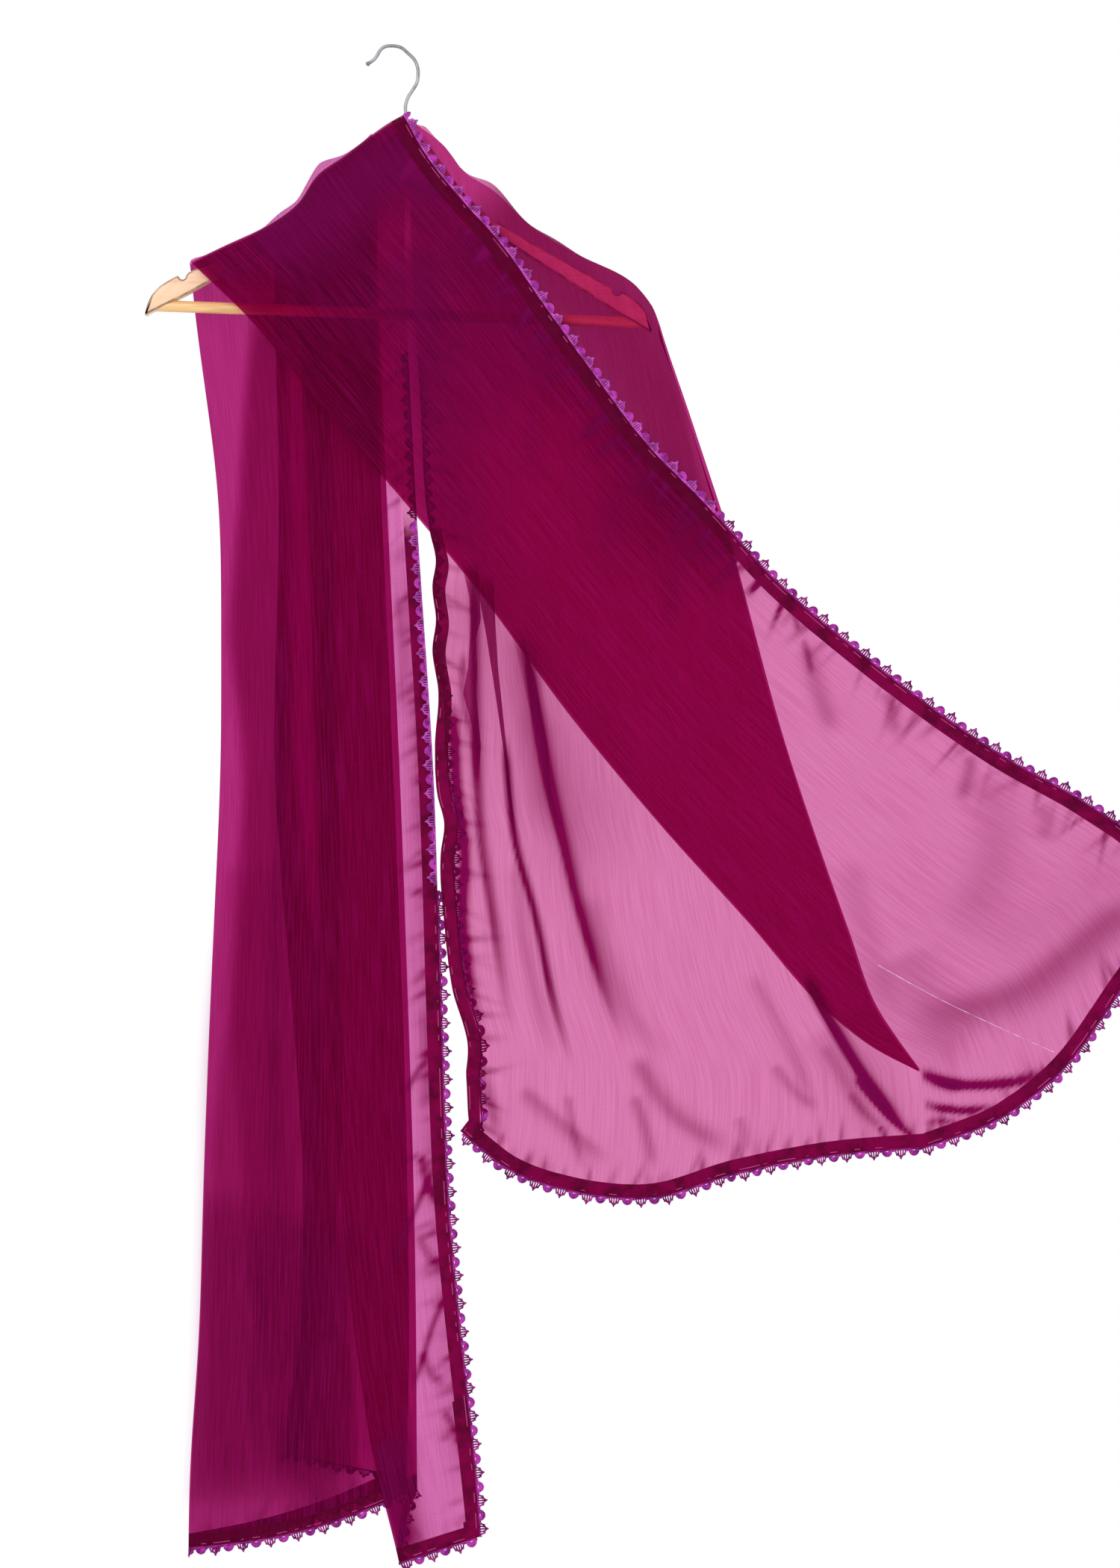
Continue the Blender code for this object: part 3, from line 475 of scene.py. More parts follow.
class StageProperties(bpy.types.PropertyGroup):
    """Floor, light and camera."""

    floor_size: size_property("Floor", "Width of the floor", 4.0)
    floor_height: size_property("Floor height", "Height of the floor", -1.8)
    distance: size_property("Camera distance", "From the camera to the stole", 3.0)
    lens: FloatProperty(name="Lens", description="Focal length in millimetres", default=79.5)
    key: FloatProperty(name="Key light", description="Power of the key light", default=22.0, unit="POWER")
    fill: FloatProperty(name="Fill light", description="Power of the fill light", default=9.0, unit="POWER")
    floor: colour_property("Floor colour", "Colour of the floor", (0.82, 0.81, 0.80))


class Amount:
    """A number that varies over a surface; an expression on it adds the Math nodes."""

    def __init__(self, finish, socket):
        self.finish = finish
        self.socket = socket

    def __add__(self, other):
        return self.finish.maths("ADD", self, other)

    __radd__ = __add__

    def __sub__(self, other):
        return self.finish.maths("SUBTRACT", self, other)

    def __rsub__(self, other):
        return self.finish.maths("SUBTRACT", other, self)

    def __mul__(self, other):
        return self.finish.maths("MULTIPLY", self, other)

    __rmul__ = __mul__

    def at_most(self, other):
        return self.finish.maths("MINIMUM", self, other)

    def at_least(self, other):
        return self.finish.maths("MAXIMUM", self, other)

    def rising(self, low, high):
        """0 below low, 1 above high, smooth between."""
        sockets = {"Value": self, "From Min": low, "From Max": high}
        made = self.finish.node("ShaderNodeMapRange", {"interpolation_type": "SMOOTHSTEP"}, sockets)
        return Amount(self.finish, made.outputs["Result"])


class Finish:
    """A material whose nodes are added one by one."""

    def __init__(self, name):
        self.material = bpy.data.materials.new(name)
        self.material.use_nodes = True
        self.tree = self.material.node_tree
        self.tree.nodes.clear()

    def node(self, kind, settings=None, sockets=None):
        made = self.tree.nodes.new(kind)
        for name, value in (settings or {}).items():
            setattr(made, name, value)
        for name, value in (sockets or {}).items():
            if isinstance(value, Amount):
                value = value.socket
            if isinstance(value, bpy.types.NodeSocket):
                self.tree.links.new(value, made.inputs[name])
            else:
                made.inputs[name].default_value = value
        return made

    def maths(self, operation, *values):
        made = self.node("ShaderNodeMath", {"operation": operation}, dict(enumerate(values)))
        return Amount(self, made.outputs[0])

    def noise(self, place, stretch=None, scale=1.0, detail=2.0, roughness=0.5, distortion=0.0):
        if stretch is not None:
            moved = self.node("ShaderNodeVectorMath", {"operation": "MULTIPLY"}, {0: place, 1: stretch})
            place = moved.outputs[0]
        sockets = {"Vector": place, "Scale": scale, "Detail": detail}
        sockets.update({"Roughness": roughness, "Distortion": distortion})
        return Amount(self, self.node("ShaderNodeTexNoise", None, sockets).outputs[0])

    def value(self, name):
        made = self.node("ShaderNodeAttribute", {"attribute_type": "GEOMETRY", "attribute_name": name})
        return Amount(self, made.outputs["Fac"])

    def weave(self):
        return self.node("ShaderNodeUVMap", {"uv_map": "weave"}).outputs["UV"]

    def place(self):
        return self.node("ShaderNodeTexCoord").outputs["Object"]

    def mix(self, factor, first, second):
        sockets = {0: factor, 6: opaque(first), 7: opaque(second)}
        return self.node("ShaderNodeMix", {"data_type": "RGBA"}, sockets).outputs[2]

    def bump(self, height, strength, distance):
        sockets = {"Strength": strength, "Distance": distance, "Height": height}
        return self.node("ShaderNodeBump", None, sockets).outputs[0]

    def surface(self, sockets):
        return self.node("ShaderNodeBsdfPrincipled", None, sockets).outputs[0]

    def threads(self, colour, relief):
        """Dull threads of chiffon."""
        sockets = {"Base Color": colour, "Roughness": 0.6, "Specular IOR Level": 0.03, "Normal": relief}
        return self.surface(sockets)

    def clear(self, tint):
        return self.node("ShaderNodeBsdfTransparent", None, {"Color": opaque(tint)}).outputs[0]

    def blend(self, share, first, second):
        return self.node("ShaderNodeMixShader", None, {0: share, 1: first, 2: second}).outputs[0]

    def done(self, shader):
        self.node("ShaderNodeOutputMaterial", None, {"Surface": shader})
        return self.material


def opaque(colour):
    """A colour with its alpha; a link stays as it is."""
    return colour if isinstance(colour, bpy.types.NodeSocket) else (*colour, 1.0)


def shaded(colour, share):
    return tuple(c * share for c in colour)


def chiffon_finish(name, cloth, tint, cover, speckle=0.3):
    """Sheer crinkled chiffon: tinted light comes through between its threads, less of it where it gathers."""
    made = Finish(name)
    weave = made.weave()
    streak = made.noise(weave, (1 / cloth.thread_gap, 16, 0), detail=3, roughness=0.6)
    broad = made.noise(weave, (90, 5, 0), detail=2)
    grain = made.noise(weave, (1 / cloth.grain_gap, 0.5 / cloth.grain_gap, 0), detail=1)
    gather_and_shade = made.value("gather_and_shade")
    lines = streak.rising(0.34, 0.70)
    fill = cover + (lines - 0.5) * 0.20 + (grain - 0.5) * speckle + (broad - 0.5) * 0.05 + gather_and_shade * 0.55
    fill = fill.at_least(0.04).at_most(0.97)
    # The raised crinkle threads take the lighter thread colour, a painted highlight; they are also bumped and
    # denser
    colour = made.mix(lines, cloth.thread, cloth.thread_painted_highlight)
    # Gathered and creased cloth takes the darker thread colour: painted shade, on top of the real extra
    # density in fill
    colour = made.mix(gather_and_shade.at_most(1.0), colour, cloth.thread_painted_shade)
    threads = made.threads(colour, made.bump(streak * 0.7 + grain * 0.3, 0.55, 0.0006))
    gaps = made.blend((gather_and_shade * 1.6).at_most(1.0), made.clear(tint), made.clear(cloth.hem_tint))
    return made.done(made.blend(fill, gaps, threads))


def hem_finish(name, cloth):
    """Three turned layers of chiffon with a row of stitches near the edge."""
    made = Finish(name)
    weave, place = made.weave(), made.place()
    rim = made.value("rim")
    mottle_and_shade = made.noise(place, scale=62, detail=3, roughness=0.6).rising(0.32, 0.68)
    pucker = made.noise(place, scale=190, detail=2)
    streak = made.noise(weave, (1 / cloth.thread_gap, 30, 0), detail=2)
    sewn = rim.rising(1.9, 2.2) * (1 - rim.rising(2.6, 2.9))
    dash = made.noise(place, scale=105, detail=0).rising(0.55, 0.6)
    stitches = sewn * dash
    # The mottle halves the hem's thread colour in patches: painted shade of the hem's puckers, beside their
    # real relief and density
    colour = made.mix(mottle_and_shade, shaded(cloth.hem_thread, 0.5), cloth.hem_thread)
    colour = made.mix((streak - 0.45) * 0.5, colour, cloth.thread)
    colour = made.mix(stitches * 0.7, colour, cloth.stitch)
    fill = 0.7 + (0.5 - mottle_and_shade) * 0.5 + (streak - 0.5) * 0.2
    fill = fill + stitches * 0.3 + (1 - rim.rising(0.0, 1.2)) * 0.2
    faint = (made.value("gather_and_shade") * -2.0).at_least(0.0).at_most(1.0)
    fill = fill.at_least(0.3).at_most(0.98) * (1 - faint * 0.7)
    relief = made.bump(pucker * 0.7 + streak * 0.2 + mottle_and_shade * 0.5 - sewn * 0.6, 0.7, 0.0012)
    gaps = made.blend(faint, made.clear(cloth.hem_tint), made.clear(cloth.back_tint))
    return made.done(made.blend(fill, gaps, made.threads(colour, relief)))


def pleat_finish(name, cloth):
    """Chiffon folded flat on itself, fading out towards a soft side."""
    made = Finish(name)
    weave = made.weave()
    streak = made.noise(weave, (1 / cloth.thread_gap, 16, 0), detail=2)
    gather_and_shade = made.value("gather_and_shade")
    fill = (gather_and_shade * (0.8 + (streak - 0.5) * 0.5)).at_least(0.0).at_most(0.95)
    # Along the crinkle streaks the threads run from the darker copy of their colour to the plain one: painted
    # shade
    colour = made.mix(streak, cloth.thread_painted_shade, cloth.thread)
    threads = made.threads(colour, made.bump(streak, 0.5, 0.0006))
    gaps = made.blend((gather_and_shade * 2.0).at_most(1.0), made.clear(SOFT_SIDE_TINT), made.clear(cloth.middle_tint))
    return made.done(made.blend(fill, gaps, threads))


def thread_finish(name, colour, twist, cover=1.0):
    """Glossy embroidery thread with its twist as fine relief; cover below 1 lets light between its fibres."""
    made = Finish(name)
    place = made.place()
    shade = made.noise(place, scale=160, detail=2)
    ply = made.noise(place, scale=twist, detail=1)
    light = tuple(min(1.0, c * 1.35 + 0.02) for c in colour)
    varied = made.mix(shade.rising(0.3, 0.7), shaded(colour, 0.55), light)
    sockets = {"Base Color": varied, "Roughness": 0.45 + ply * 0.25, "Specular IOR Level": 0.04}
    fibres = made.surface({**sockets, "Normal": made.bump(ply, 0.5, 0.0003)})
    if cover == 1.0:
        return made.done(fibres)
    return made.done(made.blend(shade * cover * 2, made.clear(light), fibres))


def wood_finish(name, colour, grain_colour, fine, roughness, edge_darkening=0.0):
    """Varnished wood with grain along the hanger, darker by this much where its edges are rounded."""
    made = Finish(name)
    place = made.place()
    grain = made.noise(place, (14, 60, fine), detail=4, roughness=0.6, distortion=0.3)
    pores = made.noise(place, (60, 400, 900), detail=2)
    stain = made.noise(place, scale=26, detail=2)
    shade = grain.rising(0.38, 0.68) * 0.75 + pores.rising(0.55, 0.75) * 0.3 + (stain - 0.5) * 0.3
    mixed = made.mix(shade.at_least(0.0).at_most(1.0), colour, grain_colour)
    edge_patches = made.noise(place, scale=120, detail=2).rising(0.3, 0.62)
    # The rounded edge faces are darkened in patches towards a dark copy of the grain colour
    mixed = made.mix(edge_darkening * (0.45 + edge_patches * 0.55), mixed, shaded(grain_colour, 0.3))
    relief = made.bump(grain * 0.4 + pores * 0.5, 0.35, 0.0004)
    sockets = {"Base Color": mixed, "Roughness": roughness + grain * 0.2, "Coat Weight": 0.25}
    return made.done(made.surface({**sockets, "Normal": relief}))


def chrome_finish(name, colour):
    """Polished plated wire with faint drawing marks."""
    made = Finish(name)
    place = made.place()
    marks = made.noise(place, (900, 900, 160), detail=2)
    wear = made.noise(place, scale=90, detail=2)
    varied = made.mix(wear.rising(0.35, 0.7), colour, shaded(colour, 0.62))
    sockets = {"Base Color": varied, "Metallic": 1.0, "Roughness": 0.2 + marks * 0.16}
    return made.done(made.surface({**sockets, "Normal": made.bump(marks, 0.12, 0.0002)}))


def floor_finish(name, colour):
    made = Finish(name)
    soft = made.noise(made.place(), scale=3, detail=2)
    varied = made.mix(soft, colour, shaded(colour, 0.97))
    return made.done(made.surface({"Base Color": varied, "Roughness": 0.8}))


def smooth_path(stops, shares):
    """Points at these shares of the length of a smooth curve through the stops."""
    stops = np.array(stops, float)
    shares = np.atleast_1d(np.asarray(shares, float))
    steps = np.linalg.norm(np.diff(stops, axis=0), axis=1)
    reach = np.concatenate([[0.0], np.cumsum(steps)])
    slopes = np.gradient(stops, reach, axis=0)
    at = shares * reach[-1]
    leg = np.clip(np.searchsorted(reach, at, side="right") - 1, 0, len(steps) - 1)
    part = ((at - reach[leg]) / steps[leg])[:, None]
    width = steps[leg][:, None]
    near = (1 + 2 * part) * (1 - part) ** 2 * stops[leg]
    far = part**2 * (3 - 2 * part) * stops[leg + 1]
    lean = part * (1 - part) ** 2 * slopes[leg] - part**2 * (1 - part) * slopes[leg + 1]
    return near + far + lean * width


def ease(value, start, end):
    """0 at start, 1 at end, smooth between."""
    share = np.clip((value - start) / (end - start), 0, 1)
    return share * share * (3 - 2 * share)


def drift(x, z):
    """Soft wave, front to back, that all the hanging cloth shares, so its layers never meet."""
    free = ease(z, HANGER_CLEAR_Z, HANGING_FREE_Z - DRIFT_LAG)
    return free * DRIFT_DEPTH * np.sin(2 * math.pi * (x / DRIFT_ACROSS + z / DRIFT_DOWN))


def over_arm(depth, below_top, radius):
    """Depth of a layer that rolls over the arm: nothing on top, its own depth once below."""
    rise = np.clip(1 - below_top / radius, 0, 1)
    return depth * np.sqrt(1 - rise**2)


def neck_gap(x):
    """Half the opening between front and back round the hook's stem."""
    return NECK_OPENING * np.exp(-(((x - NECK_X) / NECK_OPENING_WIDTH) ** 2))


def bumps(table, x):
    return sum(high * np.exp(-(((x - middle) / half) ** 2)) for middle, high, half in table)


def from_route(route, x, z):
    """Signed distance from a smooth route, and the share of the way along it, for each point."""
    points = smooth_path(route, np.linspace(0, 1, 22))
    nearest = np.full(x.shape, np.inf)
    aside = np.zeros(x.shape)
    share = np.zeros(x.shape)
    for k, (start, end) in enumerate(zip(points[:-1], points[1:])):
        leg = end - start
        length = np.linalg.norm(leg)
        along = np.clip(((x - start[0]) * leg[0] + (z - start[1]) * leg[1]) / length**2, 0, 1)
        off_x, off_z = x - start[0] - along * leg[0], z - start[1] - along * leg[1]
        far = np.hypot(off_x, off_z)
        side = np.sign(off_x * leg[1] - off_z * leg[0])
        closer = far < nearest
        nearest = np.where(closer, far, nearest)
        aside = np.where(closer, far * side, aside)
        share = np.where(closer, (k + along) / (len(points) - 1), share)
    return aside, share


def creased(creases, x, z):
    """Depth and density that these creases add at each point; the density is partly painted shade."""
    depth, density = np.zeros(x.shape), np.zeros(x.shape)
    for route, one_side, other_side, push, density_and_shade in creases:
        aside, share = from_route(route, x, z)
        width = np.where(aside < 0, one_side, other_side)
        bell = np.exp(-((aside / width) ** 2)) * ease(share, *CREASE_STARTS) * (1 - ease(share, *CREASE_ENDS))
        depth += push * bell
        density += density_and_shade * bell
    return depth, density


def puckers(run, rim, seed, hem, size, reach):
    """Depth and density of the small gathers along a hem, for points this far along it and in from it."""
    chance = np.random.default_rng(seed)
    depth = np.zeros(rim.shape)
    density = np.zeros(rim.shape)
    spot, last = chance.uniform(4, 12), float(np.max(run))
    while spot < last:
        width = chance.uniform(*PUCKER_WIDTHS)
        length = chance.uniform(*PUCKER_LENGTHS) * reach
        slant = chance.uniform(*PUCKER_SLANTS)
        off = (run - spot - slant * rim) / width
        bell = np.exp(-(off**2)) * np.exp(-((rim / (hem + length)) ** 2))
        depth += size * chance.uniform(-1.0, 1.0) * bell * 1.6
        past = np.clip(rim - hem, 0, None) / length
        tight = np.exp(-((off * 1.3) ** 2)) * np.exp(-(past**2)) * (rim > hem * 0.9)
        # Pucker density also darkens the threads' colour in the chiffon: partly painted shade
        density += chance.uniform(*PUCKER_DENSITIES) * tight
        spot += chance.uniform(*PUCKER_GAPS)
    depth += size * np.sin(run / 4.1 + np.sin(run / 13.0) * 2) * np.exp(-((rim / hem) ** 2))
    return depth, density


class Layer:
    """A grid of points with what its material reads: weave map, gather and distance in from a hem."""

    # The gather value adds density and, through the darker thread colour, painted shade
    def __init__(self, points, weave, gather_and_shade, rim=FAR_FROM_HEM):
        self.points, self.weave, self.gather_and_shade = points, weave, gather_and_shade
        self.rim = np.broadcast_to(rim, gather_and_shade.shape)


def grid_quads(rows, columns, start=0):
    """Faces of a grid whose points are numbered row by row."""
    corner = start + np.arange(rows - 1)[:, None] * columns + np.arange(columns - 1)[None, :]
    corner = corner.reshape(-1)
    return np.stack([corner, corner + 1, corner + columns + 1, corner + columns], axis=1)


def depth_finder(layer, toward):
    """A function for a layer's depth at a place, looked for towards the back (1) or the front (-1)."""
    quads = grid_quads(*layer.gather_and_shade.shape)
    tree = BVHTree.FromPolygons(layer.points.reshape(-1, 3).tolist(), quads.tolist())

    def depth(x, z, otherwise):
        hit = tree.ray_cast(Vector((x, -toward * RAY_START, z)), Vector((0, toward, 0)))[0]
        return otherwise if hit is None else hit.y

    return depth


def run_down(side):
    return np.concatenate([[0.0], np.cumsum(np.linalg.norm(np.diff(side, axis=0), axis=1))])


def right_rows(step):
    """Shares down the doubled stretch, and down the single one below where the folds meet."""
    doubled = np.concatenate([TOP_ROWS, np.linspace(FIRST_FULL_ROW, 1, round(DOUBLED_RUN / step))])
    single = np.linspace(0, 1, round(SINGLE_RUN / step) + 1)[1:]
    return doubled, single


def patch(side_a, side_b, top, end, columns, levels):
    """Grid between two sides, with its first and last rows on the top and end points."""
    level = np.asarray(levels)[:, None, None]
    across = columns[:, :, None]
    grid = side_a[:, None, :] * (1 - across) + side_b[:, None, :] * across
    grid = grid + (top - grid[0])[None] * (1 - level) ** TOP_FADE
    if end is not None:
        grid = grid + (end - grid[-1])[None] * level**END_FADE
    return grid


def turn_shares():
    """Inset and reach of each step round a fold, as shares of its radius."""
    angles = np.radians(TURN_ANGLES)
    return 1 - np.sin(angles), 1 - np.cos(angles)


def hemmed_columns(width, radius, hem, count):
    """Shares across each row: the hem at the start, even steps, then round the fold."""
    insets, _ = turn_shares()
    shares = []
    for wide, round_off in zip(width, radius):
        start = np.linspace(0, hem, HEM_STEPS + 1) / wide
        even = np.linspace((hem + 2) / wide, 1 - (round_off + 0.6) / wide, count)
        shares.append(np.concatenate([start, even, 1 - insets * round_off / wide]))
    return np.array(shares)


def shut_down(doubled, rows):
    """1 while the folds are apart, easing to 0 where they meet and below."""
    share = np.zeros(rows)
    share[: len(doubled)] = 1 - ease(doubled, FOLDS_START_TO_SHUT, 1.0)
    return share


def middle_depth(z):
    return MIDDLE_AT_HANGER + (MIDDLE_FREE - MIDDLE_AT_HANGER) * ease(z, HANGER_CLEAR_Z, HANGING_FREE_Z)


def front_step(z):
    """Distance from the front layer back to the middle layer."""
    return np.full(z.shape, LAYER_STEP)


def back_step(z):
    """Distance from the middle layer back to the back layer."""
    at_hanger = BACK_AT_HANGER - MIDDLE_AT_HANGER
    return at_hanger + (LAYER_STEP - at_hanger) * ease(z, HANGER_CLEAR_Z, HANGING_FREE_Z)


def inner_line(points, depth, toward):
    """The line this far inside an edge, on the side of a point."""
    along = np.gradient(points, axis=0)
    inward = np.stack([-along[:, 1], along[:, 0]], axis=1)
    inward /= np.linalg.norm(inward, axis=1)[:, None]
    inward *= np.sign((inward * (toward - points)).sum(axis=1))[:, None]
    return points + inward * depth


def outer_grid(cloth, edge, corner, fold, top_stops, end_stops, width, gap_at):
    """Grid from an edge to its fold with the end hem's rows, the share across of each point, and for each row
    its width, how open the fold is, its level and how far along the edge it lies."""
    step, hem = cloth.step / MM, cloth.hem / MM
    doubled, single = right_rows(step)
    side_a = np.vstack([smooth_path(edge, doubled), smooth_path(corner, single)])
    side_b = np.vstack([smooth_path(fold, doubled), smooth_path(FOLD_END, single)])
    levels = np.append(doubled * DOUBLED_SHARE, DOUBLED_SHARE + single * (1 - DOUBLED_SHARE))
    shut = shut_down(doubled, len(levels))
    wide = np.linalg.norm(side_b - side_a, axis=1)
    radius = np.maximum(gap_at(side_b[:, 1]) / 2 * shut, 0.3)
    columns = hemmed_columns(wide, radius, hem, round(width / step))
    end = smooth_path(end_stops, columns[-1])
    inside = inner_line(end, hem, (side_a[-1] + side_b[len(doubled)]) / 2 + np.array([0, 60.0]))
    shared = end[-1] + np.array(SEAM_INWARD) * hem
    inside = inside + (shared - inside[-1]) * ease(columns[-1], FOLD_FADE, 1.0)[:, None]
    grid = patch(side_a, side_b, smooth_path(top_stops, columns[0]), inside, columns, levels)
    turned = [inside + (end - inside) * k / HEM_STEPS for k in range(1, HEM_STEPS + 1)]
    run = run_down(side_a)
    hem_rows = np.ones(HEM_STEPS)
    rows = (
        np.append(wide, wide[-1] * hem_rows),
        np.append(shut, 0 * hem_rows),
        np.append(levels, hem_rows),
        np.append(run, run[-1] + np.arange(1, HEM_STEPS + 1) * step),
    )
    columns = np.vstack([columns, np.tile(columns[-1], (HEM_STEPS, 1))])
    return np.concatenate([grid, np.array(turned)]), columns, [row[:, None] for row in rows]


def outer_layer(cloth, layer, routes, width, creases):
    """The front or back layer of the right fall, hemmed along its edge and its end."""
    hem, size = cloth.hem / MM, cloth.pucker / MM
    front = layer == "front"
    gap_at = front_step if front else back_step
    sign, at_hanger = (-1, LAYER_STEP - MIDDLE_AT_HANGER) if front else (1, BACK_AT_HANGER)
    grid, columns, (wide, shut, levels, run) = outer_grid(cloth, *routes, width, gap_at)
    x, z = grid[..., 0].copy(), grid[..., 1].copy()
    below = np.linalg.norm(grid - grid[:1], axis=-1)
    from_end = np.linalg.norm(grid - grid[-1:], axis=-1)
    from_side, from_seam = columns * wide, (1 - columns) * wide
    rim = np.minimum(from_side, from_end)
    if not front:
        grid[..., 1] += bumps(TOP_BUMPS_RIGHT, x) * (1 - levels) ** BUMP_FADE * ease(rim, 4, 20)
    far = middle_depth(z) + sign * gap_at(z) * shut
    rolled = sign * np.maximum(neck_gap(x), over_arm(sign * far, below, at_hanger))
    _, reach = turn_shares()
    turn = np.zeros(columns.shape[1])
    turn[-len(reach):] = reach
    depth = np.where(z > HANGER_CLEAR_Z, rolled, far)
    depth = depth - sign * gap_at(z) / 2 * shut * turn * ease(below, *TURN_FREE)
    pushed, gather_and_shade = creased(creases, x, z)
    side_seed, end_seed = PUCKER_SEEDS[layer]
    side_reach, end_reach = RIGHT_PUCKER_REACH
    tuck, tight = puckers(run, from_side, side_seed, hem, size, side_reach)
    along_end = run_down(grid[-1])[None, :]
    tuck_end, tight_end = puckers(along_end, from_end, end_seed, hem, size, end_reach)
    if front:
        shown = ease(z, *BAND_PUCKERS_END) * ease(below, *BAND_PUCKERS_TOP)
        tight = tight * (1 + BAND_PUCKERS * shown)
    clear = (1 - ease(columns, FOLD_FADE, 1.0)) * ease(below, 4, 30)
    depth = depth + drift(x, z) + (pushed + tuck + tuck_end * (z < HANGING_FREE_Z)) * clear
    gather_and_shade = gather_and_shade * (1 - 0.6 * ease(columns, FOLD_FADE, 1.0)) * ease(from_seam, -0.5, 3)
    gather_and_shade = gather_and_shade + (tight + tight_end) * (rim > hem * 0.9) * ease(from_seam, 0, 6)
    across = columns * width * MM
    if not front:
        gather_and_shade = gather_and_shade - 0.5 * ease(z, *HIDDEN_HEM) * (from_side < hem + 1)
        across = STOLE_WIDTH - across
    points = np.stack([grid[..., 0], depth, grid[..., 1]], axis=-1)
    return Layer(points, np.stack(np.broadcast_arrays(across, run * MM), axis=-1), gather_and_shade, rim)


def middle_layer(cloth, behind=False):
    """The layer between the two folds, narrowing to where they meet, or its lining behind the arms."""
    step = cloth.step / MM
    doubled, _ = right_rows(step)
    side_a, side_b = smooth_path(FRONT_FOLD, doubled), smooth_path(BACK_FOLD, doubled)
    top = np.array(TOP_LEFT[::-1] + TOP_RIGHT[-2::-1], float)
    outline = top[np.argsort(top[:, 0])].T
    if behind:
        hem_x, hem_z = np.array(FRONT_EDGE, float).T
        side_b[:, 0] = np.minimum(side_b[:, 0], np.interp(-side_b[:, 1], -hem_z, hem_x) - LINING_UNDER_HEM)
        down_hem = [(x - LINING_UNDER_HEM, z) for x, z in FRONT_EDGE[1:] if z > side_b[0, 1] + 10]
        top = np.array(TOP_LEFT[::-1] + down_hem + [tuple(side_b[0])], float)
    shut = shut_down(doubled, len(doubled))
    wide = np.maximum(np.linalg.norm(side_b - side_a, axis=1), 0.05)
    near, far_off = LAYER_STEP / 2 * shut, back_step(side_b[:, 1]) / 2 * shut
    insets, reach = turn_shares()
    count = round(MIDDLE_WIDTH / (2 * step))
    columns = []
    for across, first, last in zip(wide, near, far_off):
        first, last = min(first / across, 0.2), min(last / across, 0.2)
        even = np.linspace(first * 1.3, 1 - last * 1.3, count)
        columns.append(np.concatenate([insets[::-1] * first, even, 1 - insets * last]))
    columns = np.array(columns)
    top[:, 1] -= UNDER_TOP * ease(-top[:, 0], -UNDER_TOP_FROM, -UNDER_TOP_TO)
    grid = patch(side_a, side_b, smooth_path(top, columns[0]), None, columns, doubled * DOUBLED_SHARE)
    x, z = grid[..., 0], grid[..., 1]
    below = np.linalg.norm(grid - grid[:1], axis=-1)
    far = middle_depth(z)
    rolled = -np.maximum(neck_gap(x), over_arm(-far, below, -MIDDLE_AT_HANGER))
    if behind:
        below = np.maximum(np.interp(x, *outline) - z, 0)
        far = far + (back_step(z) - LINING_STEP) * shut[:, None]
        rolled = np.maximum(neck_gap(x), over_arm(far, below, BACK_AT_HANGER))
    depth = np.where(z > HANGER_CLEAR_Z, rolled, far) + drift(x, z)
    turn = np.zeros(columns.shape)
    turn[:, : len(reach)] = -reach[::-1] * near[:, None]
    turn[:, -len(reach):] = reach * far_off[:, None]
    if not behind:
        depth = depth + turn * ease(below, *TURN_FREE)
    points = np.stack([x, depth, z], axis=-1)
    if behind:
        points = points[:, LINING_INSET:-LINING_INSET]
        columns = columns[:, LINING_INSET:-LINING_INSET]
    across = FRONT_WIDTH * MM + columns * MIDDLE_WIDTH * MM
    down = np.broadcast_to(run_down(side_a)[:, None] * MM, across.shape)
    return Layer(points, np.stack([across, down], axis=-1), np.zeros(across.shape))


def right_layers(cloth):
    """Front, middle and back layers, joined at the two folds and below where they meet."""
    routes = (FRONT_EDGE, FRONT_EDGE_CORNER, FRONT_FOLD, TOP_LEFT, END_HEM_RIGHT)
    front = outer_layer(cloth, "front", routes, FRONT_WIDTH, FRONT_CREASES_AND_SHADE)
    routes = (BACK_EDGE, BACK_EDGE_CORNER, BACK_FOLD, TOP_RIGHT[::-1], END_HEM_LEFT[::-1])
    back = outer_layer(cloth, "back", routes, BACK_WIDTH, BACK_CREASES_AND_SHADE)
    middle = middle_layer(cloth)
    rows = len(middle.points)
    left_turn = (front.points[:rows, -1] + middle.points[:, 0]) / 2
    right_turn = (back.points[:rows, -1] + middle.points[:, -1]) / 2
    front.points[:rows, -1] = middle.points[:, 0] = left_turn
    back.points[:rows, -1] = middle.points[:, -1] = right_turn
    tip = (left_turn[-1] + right_turn[-1]) / 2
    front.points[rows - 1, -1] = back.points[rows - 1, -1] = tip
    middle.points[-1] = tip
    seam = (front.points[rows:, -1] + back.points[rows:, -1]) / 2
    front.points[rows:, -1] = back.points[rows:, -1] = seam
    return front, middle, back


def left_stops(z):
    """Where the front edge, each fold and the inner edge lie at each height."""
    table = np.array(LEFT_SECTIONS, float)
    order = np.argsort(table[:, 0])
    heights = table[order, 0]
    fine = np.linspace(heights[0], heights[-1], 200)
    soft = []
    for k in range(1, table.shape[1]):
        exact = np.interp(fine, heights, table[order, k])
        weight = np.hanning(41)
        padded = np.pad(exact, 20, mode="edge")
        soft.append(np.interp(z, fine, np.convolve(padded, weight / weight.sum(), "valid")))
    return np.array(soft)


